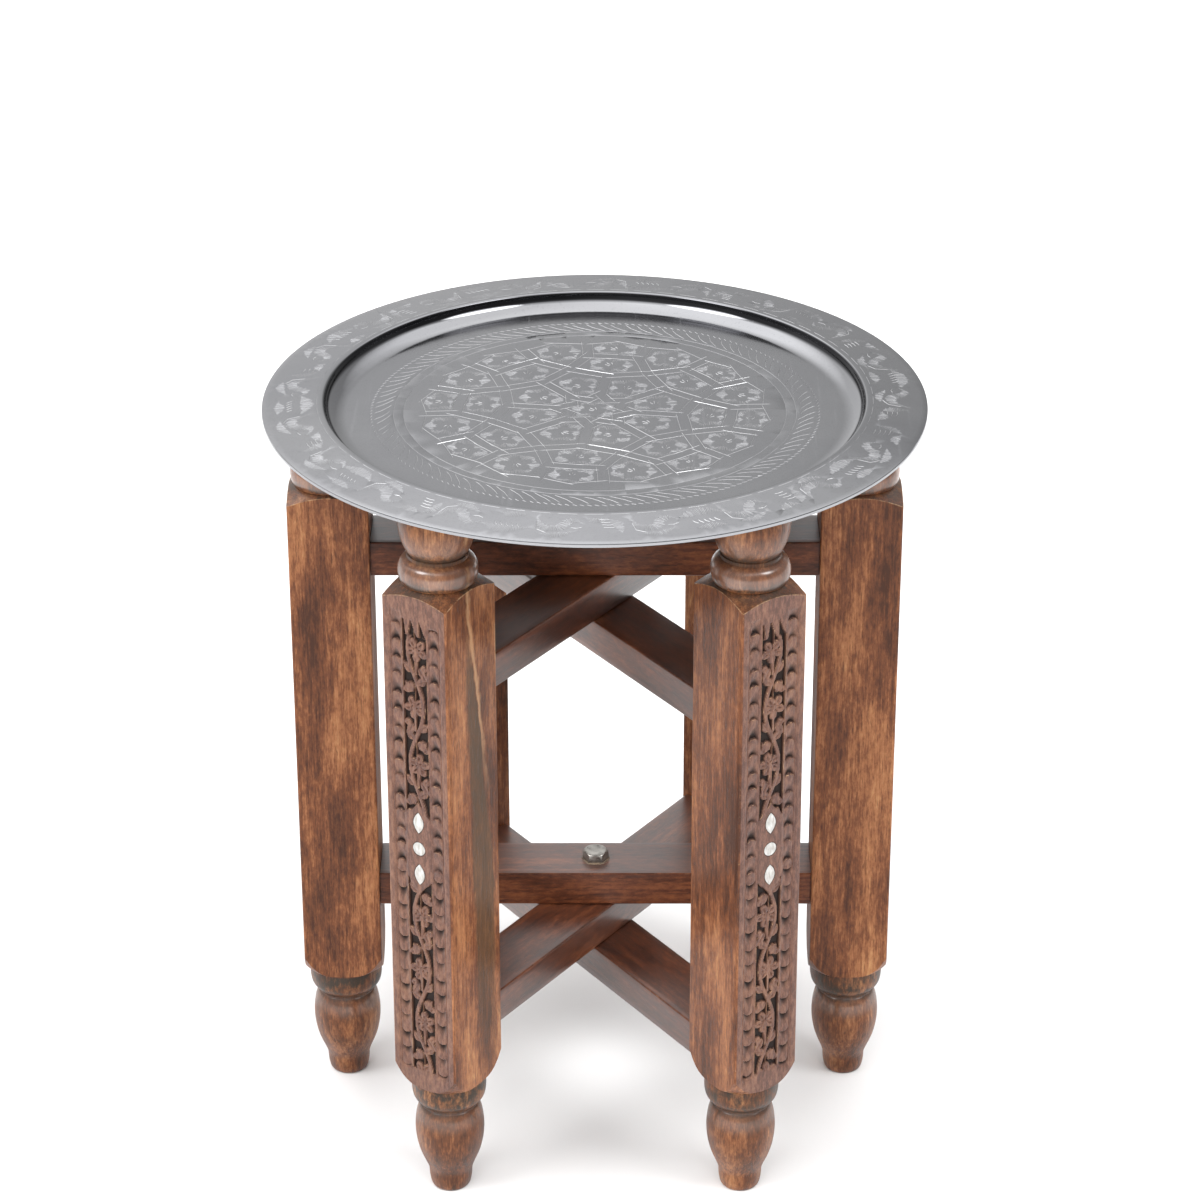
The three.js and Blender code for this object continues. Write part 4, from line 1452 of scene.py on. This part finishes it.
def wall_line():
    """The upper face from the flat floor up the curved wall to the rim."""
    rise = WELL_DEPTH - WELL_CORNER
    run = WELL_RADIUS - WELL_CORNER - FLOOR_RADIUS
    line = []
    for turn in np.linspace(0.0, math.pi / 2, 23):
        line.append([FLOOR_RADIUS + run * math.sin(turn), FLOOR_TOP + rise * (1 - math.cos(turn))])
    for turn in np.linspace(0.0, math.pi / 2, 9)[1:]:
        height = TABLE_TOP - WELL_CORNER + WELL_CORNER * math.sin(turn)
        line.append([WELL_RADIUS - WELL_CORNER * math.cos(turn), height])
    return line


def under_line():
    """The edge, the turned-down lip and the whole underside, from the rim's edge to the middle."""
    edge = rim_height(TRAY_RADIUS)
    # how far in from the edge and how far up
    lip = ((1.0, rim_height(RIM_EDGE) - edge), (0.3, -0.15), (0.0, -0.7), (0.0, 0.3 - RIM_LIP),
           (0.4, -RIM_LIP), (1.2, -RIM_LIP), (SHEET, 0.4 - RIM_LIP), (SHEET, -SHEET - 0.3))
    line = [[TRAY_RADIUS - inward, edge + rise] for inward, rise in lip]
    line += [[radius, rim_height(radius) - SHEET] for radius in (247.5, 236.0, 222.0, 209.0)]
    for radius, height in reversed(wall_line()):
        line.append([radius + SHEET * (height - FLOOR_TOP) / WELL_DEPTH, height - SHEET])
    line += [[radius, FLOOR_TOP - SHEET] for radius in (170.0, 120.0, 60.0, 15.0)]
    return line


def make_tray(material):
    """The tray as one closed sheet: engraved floor and rim, curved wall, lip and underside."""
    points, faces, cut = [], [], []

    def add_points(block, values):
        first = len(points)
        points.extend(block.tolist())
        cut.extend(values.tolist())
        return first

    for work, inner, outer, rings in (
        (engrave_floor(), 0.0, FLOOR_RADIUS, (176.0,)),
        (engrave_rim(), WELL_RADIUS, RIM_EDGE, (213.0, 221.0, 229.0, 237.0, 245.0)),
    ):
        flat, depth, sheet_faces = engraved_sheet(work, inner, outer, rings)
        radius = np.hypot(flat[:, 0], flat[:, 1])
        base = np.full(len(flat), FLOOR_TOP) if inner == 0 else rim_height(radius)
        first = add_points(np.column_stack([flat, base - depth]), np.clip(depth / FULL_CUT, 0, 1))
        faces.extend((sheet_faces + first).tolist())
    for line in (wall_line(), under_line()):
        block = np.vstack([np.column_stack([circle_points(r), np.full(TRAY_TURNS, h)]) for r, h in line])
        first = add_points(block, np.zeros(len(block)))
        faces.extend((ring_faces(len(line), TRAY_TURNS)[:, ::-1] + first).tolist())
    hub = add_points(np.array([[0.0, 0.0, FLOOR_TOP - SHEET]]), np.zeros(1))
    faces.extend(fan_faces(hub - TRAY_TURNS, TRAY_TURNS, hub, turned_over=True).tolist())
    points, faces, cut = weld(np.array(points), faces, np.array(cut))
    return make_piece("engraved_tray", points, faces, "tray", material, ["tray"],
                      {"cut": cut}, 18.0)


def weld(points, faces, values):
    """Joins points that lie in the same place."""
    keys = np.round(points, 3)
    _, first, group = np.unique(keys, axis=0, return_index=True, return_inverse=True)
    group = group.ravel()
    joined = []
    for face in faces:
        corners = [int(group[k]) for k in face]
        kept = [c for k, c in enumerate(corners) if c != corners[k - 1]]
        if len(set(kept)) >= 3:
            joined.append(kept)
    return points[first], joined, values[first]


# ---------------------------------------------------------------- studio

ROOM_BACK = 0.72  # brightness of the room behind the object
ROOM_RISE = 1.15  # how much brighter it is overhead
ROOM_TILT = 0.28  # brighter to the left, darker to the right
ROOM_DARK = 0.55  # share of the light left low down in front


def make_floor():
    """A plain pale floor under and behind the object."""
    material, tree, shader = new_material("studio_floor")
    point = node(tree, "ShaderNodeTexCoord").outputs["Object"]
    cloud = noise(tree, point, 3.0, 2.0, 0.5)
    feed(tree, shader, Base_Color=mixed(tree, cloud, hue(0.80, 0.80, 0.80), hue(0.84, 0.84, 0.84)))
    shader.inputs["Roughness"].default_value = 0.9
    shader.inputs["Specular IOR Level"].default_value = 0.0
    mesh = bpy.data.meshes.new("studio_floor")
    reach = 30.0
    corners = [(-reach, -reach, 0), (reach, -reach, 0), (reach, reach, 0), (-reach, reach, 0)]
    mesh.from_pydata(corners, [], [(0, 1, 2, 3)])
    mesh.materials.append(material)
    floor = bpy.data.objects.new("studio_floor", mesh)
    bpy.context.scene.collection.objects.link(floor)


def softbox(tree, parts, aim, reach, strength):
    """A bright round patch of the surroundings towards one direction."""
    total = times(tree, parts.outputs["X"], aim[0])
    total = plus(tree, total, times(tree, parts.outputs["Y"], aim[1]))
    total = plus(tree, total, times(tree, parts.outputs["Z"], aim[2]))
    return span(tree, total, reach, reach + 0.02, 0.0, strength)


def make_surroundings():
    """Soft light from all round, bright overhead, with a dark room low down in front."""
    world = bpy.data.worlds.new("studio")
    bpy.context.scene.world = world
    world.use_nodes = True
    tree = world.node_tree
    point = node(tree, "ShaderNodeTexCoord").outputs["Generated"]
    parts = node(tree, "ShaderNodeSeparateXYZ", {0: point})
    sideways, ahead, up = parts.outputs["X"], parts.outputs["Y"], parts.outputs["Z"]
    above = span(tree, up, 0.45, 0.72, 0.0, ROOM_RISE)
    tilt = span(tree, sideways, -0.22, 0.22, ROOM_TILT, -ROOM_TILT)
    level = plus(tree, plus(tree, above, tilt), ROOM_BACK)
    in_front = span(tree, ahead, 0.10, -0.06)
    aside = times(tree, maths(tree, "ABSOLUTE", sideways), 0.22)
    low_down = span(tree, minus(tree, up, aside), 0.66, 0.60)
    dark = times(tree, in_front, low_down)
    dark = higher(tree, dark, span(tree, up, 0.14, 0.06, 0.0, 0.8))
    level = times(tree, level, span(tree, dark, 0.0, 1.0, 1.0, ROOM_DARK))
    for aim in ((-0.60, -0.33, 0.73), (0.60, -0.33, 0.73)):
        level = plus(tree, level, softbox(tree, parts, aim, 0.965, 8.0))
    seen = node(tree, "ShaderNodeLightPath").outputs["Is Camera Ray"]
    level = higher(tree, level, seen)
    shade = tree.nodes["Background"]
    shade.inputs["Color"].default_value = hue(1.0, 1.0, 1.0)
    tree.links.new(level, shade.inputs["Strength"])


def make_soft_light(name, place, target, width, height, power, glossy=True):
    data = bpy.data.lights.new(name, "AREA")
    data.shape = "RECTANGLE"
    data.size = width
    data.size_y = height
    data.energy = power
    light = bpy.data.objects.new(name, data)
    bpy.context.scene.collection.objects.link(light)
    light.location = place
    light.rotation_euler = (Vector(target) - Vector(place)).to_track_quat("-Z", "Y").to_euler()
    light.visible_glossy = glossy


def make_lights():
    middle = (0.0, 0.0, 0.35)
    make_soft_light("key_left", (-1.1, -3.0, 1.9), middle, 1.2, 1.2, 33.0, False)
    make_soft_light("fill_right", (1.3, -3.0, 1.9), middle, 1.2, 1.2, 22.0, False)


def make_camera():
    """The camera stands in front and looks down at about 28 degrees."""
    data = bpy.data.cameras.new("camera")
    data.sensor_width = 36.0
    data.lens = 122.94
    data.shift_x = -0.0078
    data.shift_y = 0.0965
    camera = bpy.data.objects.new("camera", data)
    bpy.context.scene.collection.objects.link(camera)
    target = Vector((0.01094, 0.0, 0.3239))
    camera.location = (0.01094, -2.8281, 1.8375)
    camera.rotation_euler = (target - camera.location).to_track_quat("-Z", "Y").to_euler()
    data.clip_end = 100.0
    bpy.context.scene.camera = camera


# ---------------------------------------------------------------- assembly

LEG_TONES = {
    "a_right": (3.1, -0.02),
    "b_back": (5.2, -0.06),
    "c_back": (7.3, -0.06),
    "a_left": (9.4, 0.0),
    "b_front": (11.5, 0.0),
    "c_front": (13.6, -0.03),
}


def make_stand():
    shell = make_shell()
    steel = make_bolt_steel()
    wax = make_wax()
    for name, (seed, tone) in LEG_TONES.items():
        timber = make_leg_timber("stained_leg_" + name, seed, tone, name == "b_front")
        make_leg(name, timber)
        for place in ("top", "dot", "bottom"):
            make_inlay(name, place, shell)
    for index, (letter, level) in enumerate(BAR_TOPS):
        timber = make_bar_timber("stained_bar_" + letter + "_" + level, 20.0 + index * 1.7, 0.0)
        make_bar(letter, level, timber)
    for level in ("upper", "lower"):
        make_bolt(level, steel)
        make_washer(level, steel)
        make_nut(level, steel)
        make_wax_ring(level, wax)


def write_sizes():
    """Brings the scene's transforms up to date."""
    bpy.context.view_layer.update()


make_stand()
make_tray(make_tray_metal())
make_floor()
make_surroundings()
make_lights()
make_camera()
bpy.context.scene.view_settings.view_transform = "Standard"
write_sizes()
